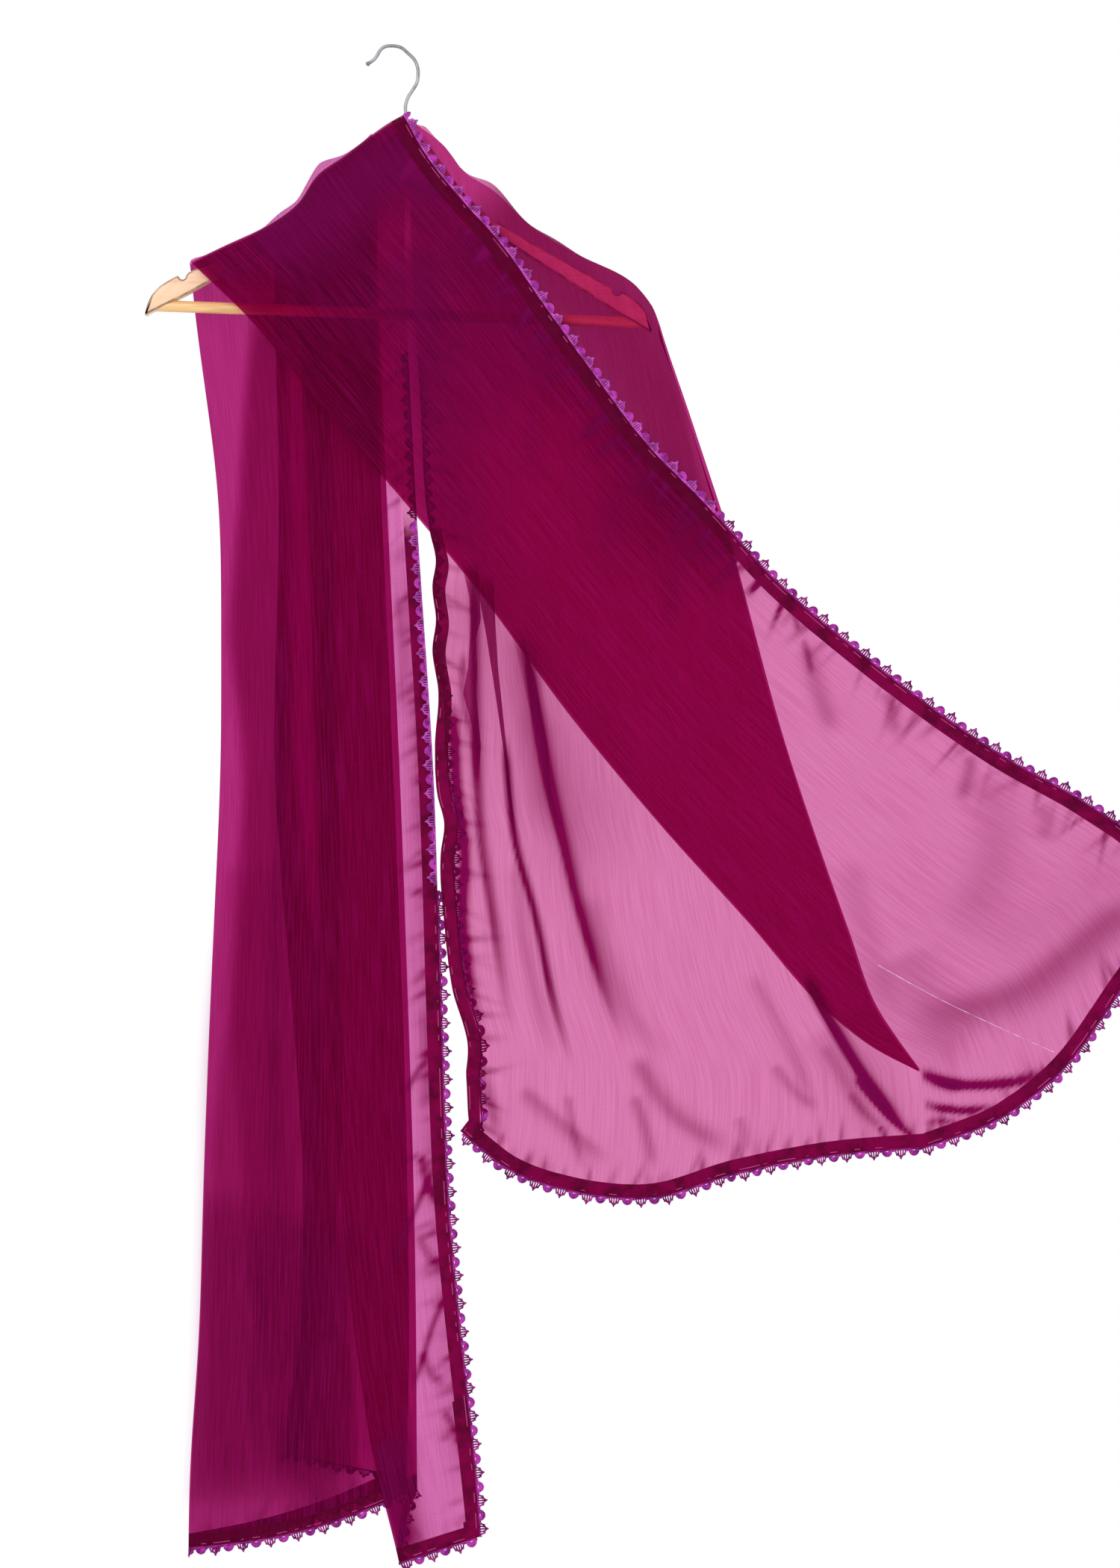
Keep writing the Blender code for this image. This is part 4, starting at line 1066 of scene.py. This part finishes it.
def left_columns(step):
    """Each column as its layer, its share across that layer, and its turn at a fold, if any."""
    columns = []
    first = LEFT_SECTIONS[2][1:]
    for layer in range(len(LEFT_LAYERS)):
        count = max(8, round(abs(first[layer + 1] - first[layer]) / step))
        shares = np.linspace(0, 1, count)
        if layer == 0:
            shares = np.concatenate([np.linspace(0, 0.13, HEM_STEPS + 1), np.linspace(0.15, 1, count)])
        columns += [(layer, share, None) for share in shares]
        if layer < len(LEFT_LAYERS) - 1:
            columns += [(layer, 1.0, math.radians(angle)) for angle in FOLD_ANGLES]
    return columns


def left_column(column, z):
    """Right and depth of one column at these heights."""
    layer, share, angle = column
    stops = left_stops(z)
    start, end = stops[layer], stops[layer + 1]
    heading = np.sign(end - start)
    depth = LEFT_LAYERS[layer][0]
    if angle is not None:
        radius = (LEFT_LAYERS[layer + 1][0] - depth) / 2
        turned = np.full(z.shape, depth + radius * (1 + math.sin(angle)))
        return end - heading * radius * (1 - math.cos(angle)), turned
    first = start + heading * (LEFT_FOLD_RADIUS if layer > 0 else 0.0)
    final = end - heading * (LEFT_FOLD_RADIUS if layer < len(LEFT_LAYERS) - 1 else 0.0)
    return first + (final - first) * share, np.full(z.shape, depth)


def left_grid(step, hem, columns):
    """Points of the left fall before its creases, and how far each column is from the front edge."""
    top_z = np.array([LEFT_SECTIONS[0][0]], float)
    tops = [left_column(column, top_z)[0][0] for column in columns]
    across = np.append(0.0, np.cumsum(np.abs(np.diff(tops))))
    outlines = np.interp(tops, *np.array(TOP_LEFT[::-1]).T)
    shares = np.append(TOP_ROWS, np.linspace(FIRST_FULL_ROW, 1, round(LEFT_RUN / (step * 1.35))))
    points = np.zeros((len(shares) + HEM_STEPS, len(columns), 3))
    for k, (column, outline) in enumerate(zip(columns, outlines)):
        layer, share, angle = column
        reach = share if angle is None else 1.0
        drop = LEFT_LAYERS[layer][1]
        if angle is not None:
            drop = drop + (LEFT_LAYERS[layer + 1][1] - drop) * (0.5 + 0.5 * math.sin(angle))
        end = LEFT_END[layer] + (LEFT_END[layer + 1] - LEFT_END[layer]) * reach
        end -= LEFT_END_SAG.get(layer, 0.0) * math.sin(math.pi * reach)
        main = outline - drop + (end + hem + drop - outline) * shares
        z = np.append(main, end + hem - hem * np.arange(1, HEM_STEPS + 1) / HEM_STEPS)
        x, depth = left_column(column, z)
        bent = over_arm(LEFT_TOP_DEPTH, outline - z, LEFT_TOP_DEPTH)
        depth = depth - (LEFT_TOP_DEPTH - bent) + drift(x, z)
        if layer == BUMP_LAYER:
            z = z + bumps(TOP_BUMPS_LEFT, x) * (1 - np.append(shares, np.ones(HEM_STEPS))) ** BUMP_FADE
        points[:, k] = np.stack([x, depth, z], axis=-1)
    return points, across


def left_layer(cloth):
    """The whole left fall as one folded layer, from its front edge to its inner one."""
    hem, size = cloth.hem / MM, cloth.pucker / MM
    columns = left_columns(cloth.step / MM)
    layer_of = np.array([layer for layer, _, _ in columns])
    between_folds = np.array([angle is None for _, _, angle in columns])
    front = layer_of == 0
    points, across = left_grid(cloth.step / MM, hem, columns)
    gather_and_shade = np.zeros(points.shape[:2])
    edge_in = np.abs(points[..., 0] - points[:, :1, 0])
    from_end = points[..., 2] - points[-1:, :, 2]
    rim = np.where(front, np.minimum(edge_in, from_end), from_end)
    for layers, *crease in LEFT_CREASES_AND_SHADE:
        for layer in layers:
            chosen = between_folds & (layer_of == layer)
            pushed, density_and_shade = creased([crease], points[:, chosen, 0], points[:, chosen, 2])
            points[:, chosen, 1] += pushed
            gather_and_shade[:, chosen] += density_and_shade
    run = -points[:, :1, 2]
    side_seed, end_seed = PUCKER_SEEDS["left"]
    side_reach, end_reach = LEFT_PUCKER_REACH
    tuck, tight = puckers(run, edge_in, side_seed, hem, size, side_reach)
    points[..., 1] -= np.abs(tuck) * front * (edge_in < 2.5 * hem) * 0.5
    tuck_end, tight_end = puckers(across[None, :], from_end, end_seed, hem, size, end_reach)
    points[..., 1] += tuck_end * np.exp(-((from_end / 20) ** 2)) * 0.35
    gather_and_shade += tight * front + tight_end * 0.6
    hidden = front * (edge_in < hem + 1) * ease(points[..., 2], *HIDDEN_HEM)
    hidden = np.maximum(hidden, (layer_of >= FIRST_HIDDEN_END) * (from_end < hem + 1))
    weave = np.stack(np.broadcast_arrays(across * MM, run * MM), axis=-1)
    return Layer(points, weave, gather_and_shade - 0.5 * hidden, rim)


def left_tucks():
    """The tucks inside the left fall, each a narrow layer between two of the main ones."""
    layers = []
    for depth, density, stops in LEFT_TUCKS:
        table = np.array(stops, float)
        z = np.linspace(table[0, 0], table[-1, 0], round((table[0, 0] - table[-1, 0]) / 5))
        heights = -table[:, 0]
        left = smooth_path(table[:, [0, 1]], np.linspace(0, 1, 400))
        left = np.interp(-z, -left[:, 0], left[:, 1])
        right = np.interp(-z, heights, table[:, 2])
        shares = np.linspace(0, 1, 30)[None, :]
        x = left[:, None] + (right - left)[:, None] * shares
        tall = np.broadcast_to(z[:, None], x.shape)
        points = np.stack([x, depth + drift(x, tall), tall], axis=-1)
        weave = np.stack([x * MM + 0.9, -tall * MM], axis=-1)
        down = np.linspace(0, 1, len(z))
        gather_and_shade = density * ease(x - left[:, None], 0, 14) * (1 - ease(x - right[:, None], -12, 0))
        gather_and_shade = gather_and_shade * (ease(down, 0.0, 0.04) * (1 - ease(down, 0.97, 1.0)))[:, None]
        layers.append(Layer(points, weave, gather_and_shade))
    return layers


def add_object(name, mesh):
    piece = bpy.data.objects.new(name, mesh)
    bpy.context.scene.collection.objects.link(piece)
    return piece


def add_cloth(name, layers, hem, finishes, hem_finish_index):
    """One mesh from (layer, finish, flipped) grids, welded where they share a line."""
    faces, kinds = [], []
    start = 0
    for layer, index, flipped in layers:
        rim = layer.rim
        quads = grid_quads(*rim.shape, start)
        faces.append(quads[:, ::-1] if flipped else quads)
        middle = (rim[:-1, :-1] + rim[1:, :-1] + rim[:-1, 1:] + rim[1:, 1:]) / 4
        kinds.append(np.where(middle.reshape(-1) < hem, hem_finish_index, index))
        start += rim.size
    grids = [layer for layer, _, _ in layers]
    points = np.vstack([layer.points.reshape(-1, 3) for layer in grids]) * MM
    weave = np.vstack([layer.weave.reshape(-1, 2) for layer in grids])
    mesh = bpy.data.meshes.new(name)
    mesh.from_pydata(points.tolist(), [], np.vstack(faces).tolist())
    for made in finishes:
        mesh.materials.append(made)
    mesh.polygons.foreach_set("material_index", np.concatenate(kinds).astype(np.int32))
    for label in ("gather_and_shade", "rim"):
        values = np.concatenate([getattr(layer, label).reshape(-1) for layer in grids])
        mesh.attributes.new(label, "FLOAT", "POINT").data.foreach_set("value", values.astype(np.float32))
    corners = np.zeros(len(mesh.loops), np.int32)
    mesh.loops.foreach_get("vertex_index", corners)
    weave_map = mesh.uv_layers.new(name="weave")
    weave_map.data.foreach_set("uv", weave[corners].astype(np.float32).reshape(-1))
    welded = bmesh.new()
    welded.from_mesh(mesh)
    bmesh.ops.remove_doubles(welded, verts=welded.verts, dist=0.00002)
    bmesh.ops.dissolve_degenerate(welded, edges=welded.edges, dist=0.000005)
    welded.to_mesh(mesh)
    welded.free()
    mesh.shade_smooth()
    return add_object(name, mesh)


def add_solid(name, points, faces, finishes, kinds=None):
    """A smooth mesh with its faces turned outward; kinds gives the number of each face's finish."""
    mesh = bpy.data.meshes.new(name)
    mesh.from_pydata(points, [], faces)
    for made in finishes:
        mesh.materials.append(made)
    if kinds is not None:
        mesh.polygons.foreach_set("material_index", np.array(kinds, np.int32))
    outward = bmesh.new()
    outward.from_mesh(mesh)
    bmesh.ops.recalc_face_normals(outward, faces=outward.faces)
    outward.to_mesh(mesh)
    outward.free()
    mesh.shade_smooth()
    return add_object(name, mesh)


def pleat_layers(back):
    """The flat pleats, laid just behind the back layer."""
    depth_at = depth_finder(back, -1)
    layers = []
    for stops, left_density, right_density in PLEATS:
        table = np.array(stops, float)
        z = np.linspace(table[0, 0], table[-1, 0], round(abs(table[-1, 0] - table[0, 0]) / 3.0))
        left = np.interp(-z, -table[:, 0], table[:, 1])
        right = np.interp(-z, -table[:, 0], table[:, 2])
        shares = np.linspace(0, 1, 6)
        points = np.zeros((len(z), len(shares), 3))
        for row in range(len(z)):
            for k, share in enumerate(shares):
                x = left[row] + (right[row] - left[row]) * share
                points[row, k] = (x, depth_at(x, z[row], LAYER_STEP) + PLEAT_BEHIND, z[row])
        down = np.linspace(0, 1, len(z))
        fade = (ease(down, 0, 0.14) * (1 - ease(down, 0.8, 1.0)))[:, None]
        gather_and_shade = (left_density + (right_density - left_density) * shares[None, :]) * fade
        weave = np.stack([points[..., 0] * MM, -points[..., 2] * MM], axis=-1)
        layers.append(Layer(points, weave, gather_and_shade))
    return layers


def pulled_thread(front):
    """A narrow ribbon just in front of the front layer, for the pulled thread."""
    depth_at = depth_finder(front, 1)
    route = smooth_path(PULLED_THREAD, np.linspace(0, 1, 60))
    points = np.zeros((len(route), 2, 3))
    for row, (x, z) in enumerate(route):
        for k, side in enumerate((-PULLED_THREAD_HALF, PULLED_THREAD_HALF)):
            points[row, k] = (x, depth_at(x, z + side, 0.0) - PULLED_THREAD_BEFORE, z + side)
    weave = np.stack([points[..., 0] * MM, points[..., 2] * MM], axis=-1)
    return Layer(points, weave, np.zeros((len(route), 2)))


def tube(route, radius, sides, closed=False):
    """Points and faces of a thread along a flat route of (along, out) points, thickness in depth."""
    route = np.array(route, float)
    if closed:
        heading = np.roll(route, -1, axis=0) - np.roll(route, 1, axis=0)
    else:
        heading = np.gradient(route, axis=0)
    heading /= np.linalg.norm(heading, axis=1)[:, None]
    beside = np.stack([-heading[:, 1], heading[:, 0]], axis=1)
    angles = np.arange(sides) * 2 * math.pi / sides
    radius = np.broadcast_to(np.asarray(radius, float), len(route))[:, None]
    flat = route[:, None, :] + beside[:, None, :] * (np.cos(angles)[None, :, None] * radius[:, :, None])
    depth = np.sin(angles)[None, :] * radius
    points = np.concatenate([flat, depth[..., None]], axis=-1).reshape(-1, 3)
    faces = []
    count = len(route)
    for k in range(count if closed else count - 1):
        for side in range(sides):
            a, b = k * sides + side, k * sides + (side + 1) % sides
            c, d = ((k + 1) % count) * sides + (side + 1) % sides, ((k + 1) % count) * sides + side
            faces.append((a, b, c, d))
    if not closed:
        faces.append(tuple(range(sides))[::-1])
        faces.append(tuple(range((count - 1) * sides, count * sides)))
    return points, faces


def ring(middle, radius, thread, steps=8):
    angles = np.arange(steps) * 2 * math.pi / steps
    route = np.stack([middle[0] + radius * np.cos(angles), middle[1] + radius * np.sin(angles)], axis=1)
    return tube(route, thread, 4, closed=True)


def fan_body(thick):
    """Dense half ring with radial ribs, front and back."""
    steps = FAN_RIBS * 2 + 1
    angles = np.linspace(0.06, math.pi - 0.06, steps)
    ridge = np.where(np.arange(steps) % 2 == 0, 1.0, 0.45)
    points = []
    for share, swell in ((0.0, 0.5), (0.35, 1.0), (0.8, 1.0), (1.0, 0.4)):
        out = np.array(FAN_ARCH) + (np.array(FAN_REACH) - np.array(FAN_ARCH)) * share
        along = FAN_MIDDLE + out[0] * np.cos(angles)
        away = FAN_FOOT + out[1] * np.sin(angles)
        for side in (-1, 1):
            points.append(np.stack([along, away, side * thick / 2 * swell * ridge], axis=1))
    points = np.concatenate(points)
    faces = []
    order = [part * steps for part in (0, 2, 4, 6, 7, 5, 3, 1)]
    for first, second in zip(order, order[1:] + order[:1]):
        faces += [(first + k, first + k + 1, second + k + 1, second + k) for k in range(steps - 1)]
    for k in (0, steps - 1):
        cap = tuple(part + k for part in order)
        faces.append(cap if k else cap[::-1])
    return points, faces


def behind_band(points):
    """1 where an edge lies behind the band."""
    return (points[:, 2] > HIDDEN_HEM[1]).astype(float)


def lace_repeat(lace):
    """Points, faces and finish of one repeat: 0 for the fan, 1 for the open threads."""
    thread, length = lace.thread / MM, lace.repeat / MM
    along = np.linspace(0, length, 13)
    base = np.stack([along, np.full(len(along), BASE_CORD_HEIGHT)], axis=1)
    twist = np.stack([along, WAVE_HEIGHT + WAVE_SIZE * np.cos(along / length * WAVE_ANGLE)], axis=1)
    turn = np.linspace(0, math.pi, 15)
    foot, dome_foot = np.array([FAN_MIDDLE, FAN_FOOT]), np.array([DOME_MIDDLE, 0])
    rim = foot + np.stack([np.cos(turn), np.sin(turn)], axis=1) * (np.array(FAN_REACH) + 0.1)
    parts = [
        (fan_body(lace.thick / MM), 0),
        (tube(base, lace.cord / MM, 5), 1),
        (tube(twist, thread * 0.7, 4), 1),
        (tube(rim, thread * 0.8, 4), 0),
    ]
    for angle in np.linspace(0.22, math.pi - 0.22, FAN_RIBS - 1):
        heading = np.array([math.cos(angle), math.sin(angle)])
        start = foot + heading * np.array(FAN_REACH) * 0.93
        tooth = [start, start + heading * FAN_TOOTH * 0.6, start + heading * FAN_TOOTH]
        parts.append((tube(tooth, [thread * 0.8, thread * 0.8, thread * 0.4], 4), 1))
    dome = smooth_path(DOME_OUTLINE, np.linspace(0, 1, 21)) + dome_foot
    parts.append((tube(dome, thread, 5), 1))
    for bar in DOME_BARS:
        route = smooth_path(bar, np.linspace(0, 1, 4)) + dome_foot
        parts.append((tube(route, thread * 0.85, 4), 1))
    for out, up in DOME_PICOTS:
        parts.append((ring((DOME_MIDDLE + out, up), PICOT_RADIUS, thread * 0.6, 6), 1))
    for middle in RING_MIDDLES:
        parts.append((ring((middle, RING_HEIGHT), RING_RADIUS, thread * 0.75), 1))
    faces, finish = [], []
    start = 0
    for (spots, quads), kind in parts:
        faces += [tuple(start + k for k in face) for face in quads]
        finish += [kind] * len(quads)
        start += len(spots)
    return np.concatenate([spots for (spots, _), _ in parts]), faces, finish


def sampled(at, run, values):
    """Rows of values at these distances along a run."""
    return np.stack([np.interp(at, run, values[:, k]) for k in range(3)], axis=1)


def softened(values):
    """Rows of values averaged with their neighbours."""
    weight = np.hanning(9) / np.hanning(9).sum()
    padded = np.pad(values, ((4, 4), (0, 0)), mode="edge")
    return np.stack([np.convolve(padded[:, k], weight, "valid") for k in range(3)], axis=1)


def sew_lace(node, edge, inner, lace, finishes, turned=0.0, inset=0.0, looks=0.0):
    """Lace in place of the frame's plain strip: it stands out from an edge, or lies turned in at a depth."""
    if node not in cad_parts:
        raise RuntimeError(f"the frame has no {node}")
    name = node.replace("lace", "sewn_lace")
    repeat = lace.repeat / MM
    run = run_down(edge)
    inset, looks = np.broadcast_to(inset, run.shape), np.broadcast_to(looks, run.shape)
    count = max(1, round(run[-1] / repeat))
    stretch = run[-1] / (count * repeat)
    smooth = np.linspace(0, run[-1], max(8, round(run[-1] / 2.0)))
    line = sampled(smooth, run, edge)
    along = softened(np.gradient(line, axis=0))
    along /= np.linalg.norm(along, axis=1)[:, None]
    out = softened(line - sampled(smooth, run, inner))
    out -= (out * along).sum(axis=1)[:, None] * along
    out /= np.linalg.norm(out, axis=1)[:, None]
    face = np.tile((0.0, 1.0, 0.0), (len(line), 1)) if turned else np.cross(along, out)
    spots, quads, kinds = lace_repeat(lace)
    chance = np.random.default_rng(len(name) + round(run[-1]))
    points, faces, chosen = [], [], []
    for k in range(count):
        at = (k * repeat + spots[:, 0]) * stretch
        lean = chance.uniform(*LACE_LEANS)
        tall = chance.uniform(*LACE_HEIGHTS)
        high = spots[:, 1] * tall * (-1 if turned else 1) - np.interp(at, run, inset)
        away = spots[:, 2] + turned + lean * spots[:, 1]
        base, aside, front = (sampled(at, smooth, values) for values in (line, out, face))
        points.append(base + aside * high[:, None] + front * away[:, None])
        faces += [tuple(k * len(spots) + corner for corner in quad) for quad in quads]
        look = round(float(np.interp((k + 0.5) * run[-1] / count, run, looks)))
        chosen += [LACE_LOOKS[look][kind] for kind in kinds]
    piece = add_solid(name, (np.concatenate(points) * MM).tolist(), faces, finishes, chosen)
    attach(piece, "root")
    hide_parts(node)


class STOLE_OT_lace(bpy.types.Operator):
    """Sew the lace along the hems of both falls"""

    bl_idname = "stole.lace"
    bl_label = "Lace edging"

    def execute(self, context):
        cloth, lace = context.scene.stole_cloth, context.scene.stole_lace
        finishes = [
            thread_finish("lace fan", lace.fan, 1800),
            thread_finish("lace thread", lace.dark, 2400),
            thread_finish("lace inside", lace.dark, 2400, 0.12),
            # A lighter copy of the thread colour for lace against dark cloth: painted highlight
            thread_finish("lace thread lit", lace.painted_highlight, 2400),
        ]
        front, _, back = right_layers(cloth)
        right, behind, left = front.points, back.points, left_layer(cloth).points
        hem = HEM_STEPS
        # The front edge's lace above this height takes the lighter thread colour: painted highlight against
        # the dark band
        painted_highlight = 2.0 * (right[:, 0, 2] > PAINTED_HIGHLIGHT_LACE_ENDS)
        sew_lace("lace_front_edge", right[:, 0], right[:, hem], lace, finishes, looks=painted_highlight)
        end = np.vstack([right[-1, :-1], behind[-1, ::-1]])[1:-1]
        end_inner = np.vstack([right[-1 - hem, :-1], behind[-1 - hem, ::-1]])[1:-1]
        sew_lace("lace_right_end", end, end_inner, lace, finishes)
        rows = behind[behind[:, 0, 2] < HANGER_CLEAR_Z]
        edge = rows[:, 0]
        inset = BACK_LACE_INSET * ease(edge[:, 2], *BACK_LACE_STARTS)
        sew_lace("lace_back_edge", edge, rows[:, hem], lace, finishes, LACE_BEHIND, inset, behind_band(edge))
        turned = left[:, 0, 2] > TURNED_LACE_END
        rows = left[turned & (left[:, 0, 2] < HANGER_CLEAR_Z)]
        edge = rows[:, 0]
        # The turned-in lace below the band takes the lighter thread colour, a painted highlight; behind the
        # band it is faint
        looks = 2 - behind_band(edge)
        sew_lace("lace_left_turned", edge, rows[:, hem], lace, finishes, LACE_BEFORE, looks=looks)
        rows = left[~turned]
        sew_lace("lace_left_edge", rows[:, 0], rows[:, hem], lace, finishes)
        hidden = [layer >= FIRST_HIDDEN_END for layer, _, _ in left_columns(cloth.step / MM)][1:-1]
        sew_lace("lace_left_end", left[-1, 1:-1], left[-1 - hem, 1:-1], lace, finishes, looks=hidden)
        return {"FINISHED"}


class STOLE_OT_right_fall(bpy.types.Operator):
    """Hang the three layers of the right fall"""

    bl_idname = "stole.right_fall"
    bl_label = "Right fall"

    def execute(self, context):
        cloth = context.scene.stole_cloth
        front, middle, back = right_layers(cloth)
        finishes = [
            chiffon_finish("chiffon front", cloth, cloth.front_tint, cloth.cover),
            chiffon_finish("chiffon middle", cloth, cloth.middle_tint, cloth.cover),
            chiffon_finish("chiffon back", cloth, cloth.back_tint, cloth.cover),
            hem_finish("chiffon hem", cloth),
            pleat_finish("chiffon pleat", cloth),
            thread_finish("pulled thread", PULLED_THREAD_COLOUR, 900),
        ]
        lining = middle_layer(cloth, behind=True)
        layers = [(front, 0, False), (middle, 1, False), (back, 2, True), (lining, 1, False)]
        layers += [(pleat, 4, False) for pleat in pleat_layers(back)]
        layers.append((pulled_thread(front), 5, False))
        piece = add_cloth("chiffon_right", layers, cloth.hem / MM, finishes, 3)
        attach(piece, "root")
        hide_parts("fall_right", "fall_right_middle")
        return {"FINISHED"}


class STOLE_OT_left_fall(bpy.types.Operator):
    """Hang the folded left fall"""

    bl_idname = "stole.left_fall"
    bl_label = "Left fall"

    def execute(self, context):
        cloth = context.scene.stole_cloth
        finishes = [
            chiffon_finish("chiffon left", cloth, cloth.left_tint, cloth.cover + 0.03, 0.55),
            hem_finish("chiffon left hem", cloth),
            pleat_finish("chiffon tuck", cloth),
        ]
        layers = [(left_layer(cloth), 0, False)] + [(tuck, 2, False) for tuck in left_tucks()]
        piece = add_cloth("chiffon_left", layers, cloth.hem / MM, finishes, 1)
        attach(piece, "root")
        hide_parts("fall_left")
        return {"FINISHED"}


def add_arm(name, side, finishes):
    """One arm with rounded edges: its outline at a few depths, closed front and back."""
    outline = np.array(ARM_OUTLINE, float)
    heading = np.roll(outline, -1, axis=0) - np.roll(outline, 1, axis=0)
    inward = np.stack([heading[:, 1], -heading[:, 0]], axis=1)
    inward /= np.linalg.norm(inward, axis=1)[:, None]
    neck = outline[:, 0] < 1
    inward[neck, 0] = 0
    place = Matrix.Translation((HANGER_CENTRE[0] * MM, 0, HANGER_CENTRE[1] * MM))
    place = place @ Matrix.Rotation(math.radians(HANGER_TILT), 4, "Y")
    points = []
    for depth, inset in ARM_RINGS:
        for out, up in outline + inward * inset:
            points.append(place @ Vector((side * out * MM, depth * MM, up * MM)))
    count, rings = len(outline), len(ARM_RINGS)
    faces, kinds = [], []
    for ring_index in range(rings - 1):
        for k in range(count):
            a, b = ring_index * count + k, ring_index * count + (k + 1) % count
            faces.append((a, b, b + count, a + count))
            kinds.append(1 if ring_index != rings // 2 - 1 else 0)
    faces += [tuple(range(count)), tuple(range((rings - 1) * count, rings * count))]
    kinds += [0, 0]
    arm = add_solid(name, points, faces, finishes, kinds)
    arm.data.set_sharp_from_angle(angle=math.radians(35))
    return arm


class STOLE_OT_hanger(bpy.types.Operator):
    """Bend the hook's wire and finish the wooden hanger"""

    bl_idname = "stole.hanger"
    bl_label = "Hanger"

    def execute(self, context):
        sizes = context.scene.stole_hanger
        arms = [
            wood_finish("pale wood", sizes.wood, sizes.wood_grain, 160, 0.38),
            wood_finish("pale wood edge", sizes.wood, sizes.wood_grain, 160, 0.45, 0.85),
        ]
        bar = wood_finish("bar wood", sizes.bar, sizes.bar_grain, 260, 0.32)
        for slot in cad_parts["hanger_bar"].material_slots:
            slot.material = bar
        for node, side in (("hanger_arm_left", -1), ("hanger_arm_right", 1)):
            arm = add_arm(node.replace("hanger", "wooden"), side, arms)
            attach(arm, "root")
            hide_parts(node)
        radius = sizes.wire / MM
        route = smooth_path(HOOK_ROUTE, np.linspace(0, 1, 110))
        heading = (route[0] - route[1]) / np.linalg.norm(route[0] - route[1])
        tip = [route[0] + heading * step for step, _ in HOOK_SWELL]
        wide = [size for _, size in HOOK_SWELL] + [1.0] * len(route)
        points, faces = tube(np.vstack([tip, route]), np.array(wide) * radius, 14)
        upright = (points[:, [0, 2, 1]] * MM).tolist()
        piece = add_solid("hook_wire", upright, faces, [chrome_finish("chrome", sizes.chrome)])
        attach(piece, "root")
        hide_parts("hanger_hook")
        return {"FINISHED"}


class STOLE_OT_stage(bpy.types.Operator):
    """Set the floor, the light and the camera"""

    bl_idname = "stole.stage"
    bl_label = "Stage"

    def execute(self, context):
        stage = context.scene.stole_stage
        scene = context.scene
        low, high = (Vector(corner) for corner in CAD_BOX)
        middle = (low + high) / 2
        half = stage.floor_size / 2
        signs = ((-1, -1), (1, -1), (1, 1), (-1, 1))
        corners = [(middle.x + a * half, b * half, stage.floor_height) for a, b in signs]
        mesh = bpy.data.meshes.new("floor")
        mesh.from_pydata(corners, [], [(0, 1, 2, 3)])
        mesh.materials.append(floor_finish("pale floor", stage.floor))
        add_object("floor", mesh)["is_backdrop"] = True
        self.add_light("key light", stage.key, 2.2, (middle.x - 1.5, -2.3, 0.7), middle)
        self.add_light("fill light", stage.fill, 2.4, (middle.x + 1.9, -2.0, -0.5), middle)
        scene.world = self.studio()
        scene.view_settings.view_transform = "Standard"
        scene.camera = self.add_camera(stage)
        return {"FINISHED"}

    def studio(self):
        world = bpy.data.worlds.new("studio")
        world.use_nodes = True
        sky = world.node_tree.nodes["Background"].inputs
        sky["Color"].default_value = (1, 1, 1, 1)
        sky["Strength"].default_value = 1.0
        return world

    def add_camera(self, stage):
        data = bpy.data.cameras.new("photo camera")
        data.sensor_fit = "VERTICAL"
        data.sensor_height = 36.0
        data.lens = stage.lens
        camera = bpy.data.objects.new("photo camera", data)
        camera.location = (CAMERA_PLACE[0], -stage.distance, CAMERA_PLACE[1])
        camera.rotation_euler = (math.pi / 2, 0, 0)
        bpy.context.scene.collection.objects.link(camera)
        return camera

    def add_light(self, name, power, size, place, target):
        data = bpy.data.lights.new(name, "AREA")
        data.shape = "DISK"
        data.size = size
        data.energy = power
        light = bpy.data.objects.new(name, data)
        light.location = place
        light.rotation_euler = (target - Vector(place)).to_track_quat("-Z", "Y").to_euler()
        bpy.context.scene.collection.objects.link(light)


class STOLE_PT_panel(bpy.types.Panel):
    """Pieces of the stole, in the order they are made"""

    bl_idname = "STOLE_PT_panel"
    bl_label = "Stole on a hanger"
    bl_space_type = "VIEW_3D"
    bl_region_type = "UI"
    bl_category = "Stole"

    def draw(self, context):
        for operator in OPERATORS:
            self.layout.operator(operator.bl_idname)


GROUPS = {
    "stole_cloth": ClothProperties,
    "stole_lace": LaceProperties,
    "stole_hanger": HangerProperties,
    "stole_stage": StageProperties,
}
OPERATORS = (STOLE_OT_lace, STOLE_OT_right_fall, STOLE_OT_left_fall, STOLE_OT_hanger, STOLE_OT_stage)


def register():
    for group in GROUPS.values():
        bpy.utils.register_class(group)
    for name, group in GROUPS.items():
        setattr(bpy.types.Scene, name, PointerProperty(type=group))
    for made in (*OPERATORS, STOLE_PT_panel):
        bpy.utils.register_class(made)


def unregister():
    for made in (STOLE_PT_panel, *reversed(OPERATORS)):
        bpy.utils.unregister_class(made)
    for name in GROUPS:
        delattr(bpy.types.Scene, name)
    for group in GROUPS.values():
        bpy.utils.unregister_class(group)


def main():
    register()
    bpy.ops.stole.lace()
    bpy.ops.stole.right_fall()
    bpy.ops.stole.left_fall()
    bpy.ops.stole.hanger()
    bpy.ops.stole.stage()
    boxes = {"cad": CAD_BOX, "visual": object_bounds()}
    boxes = {name: [list(map(float, corner)) for corner in box] for name, box in boxes.items()}


if __name__ == "__main__":
    main()
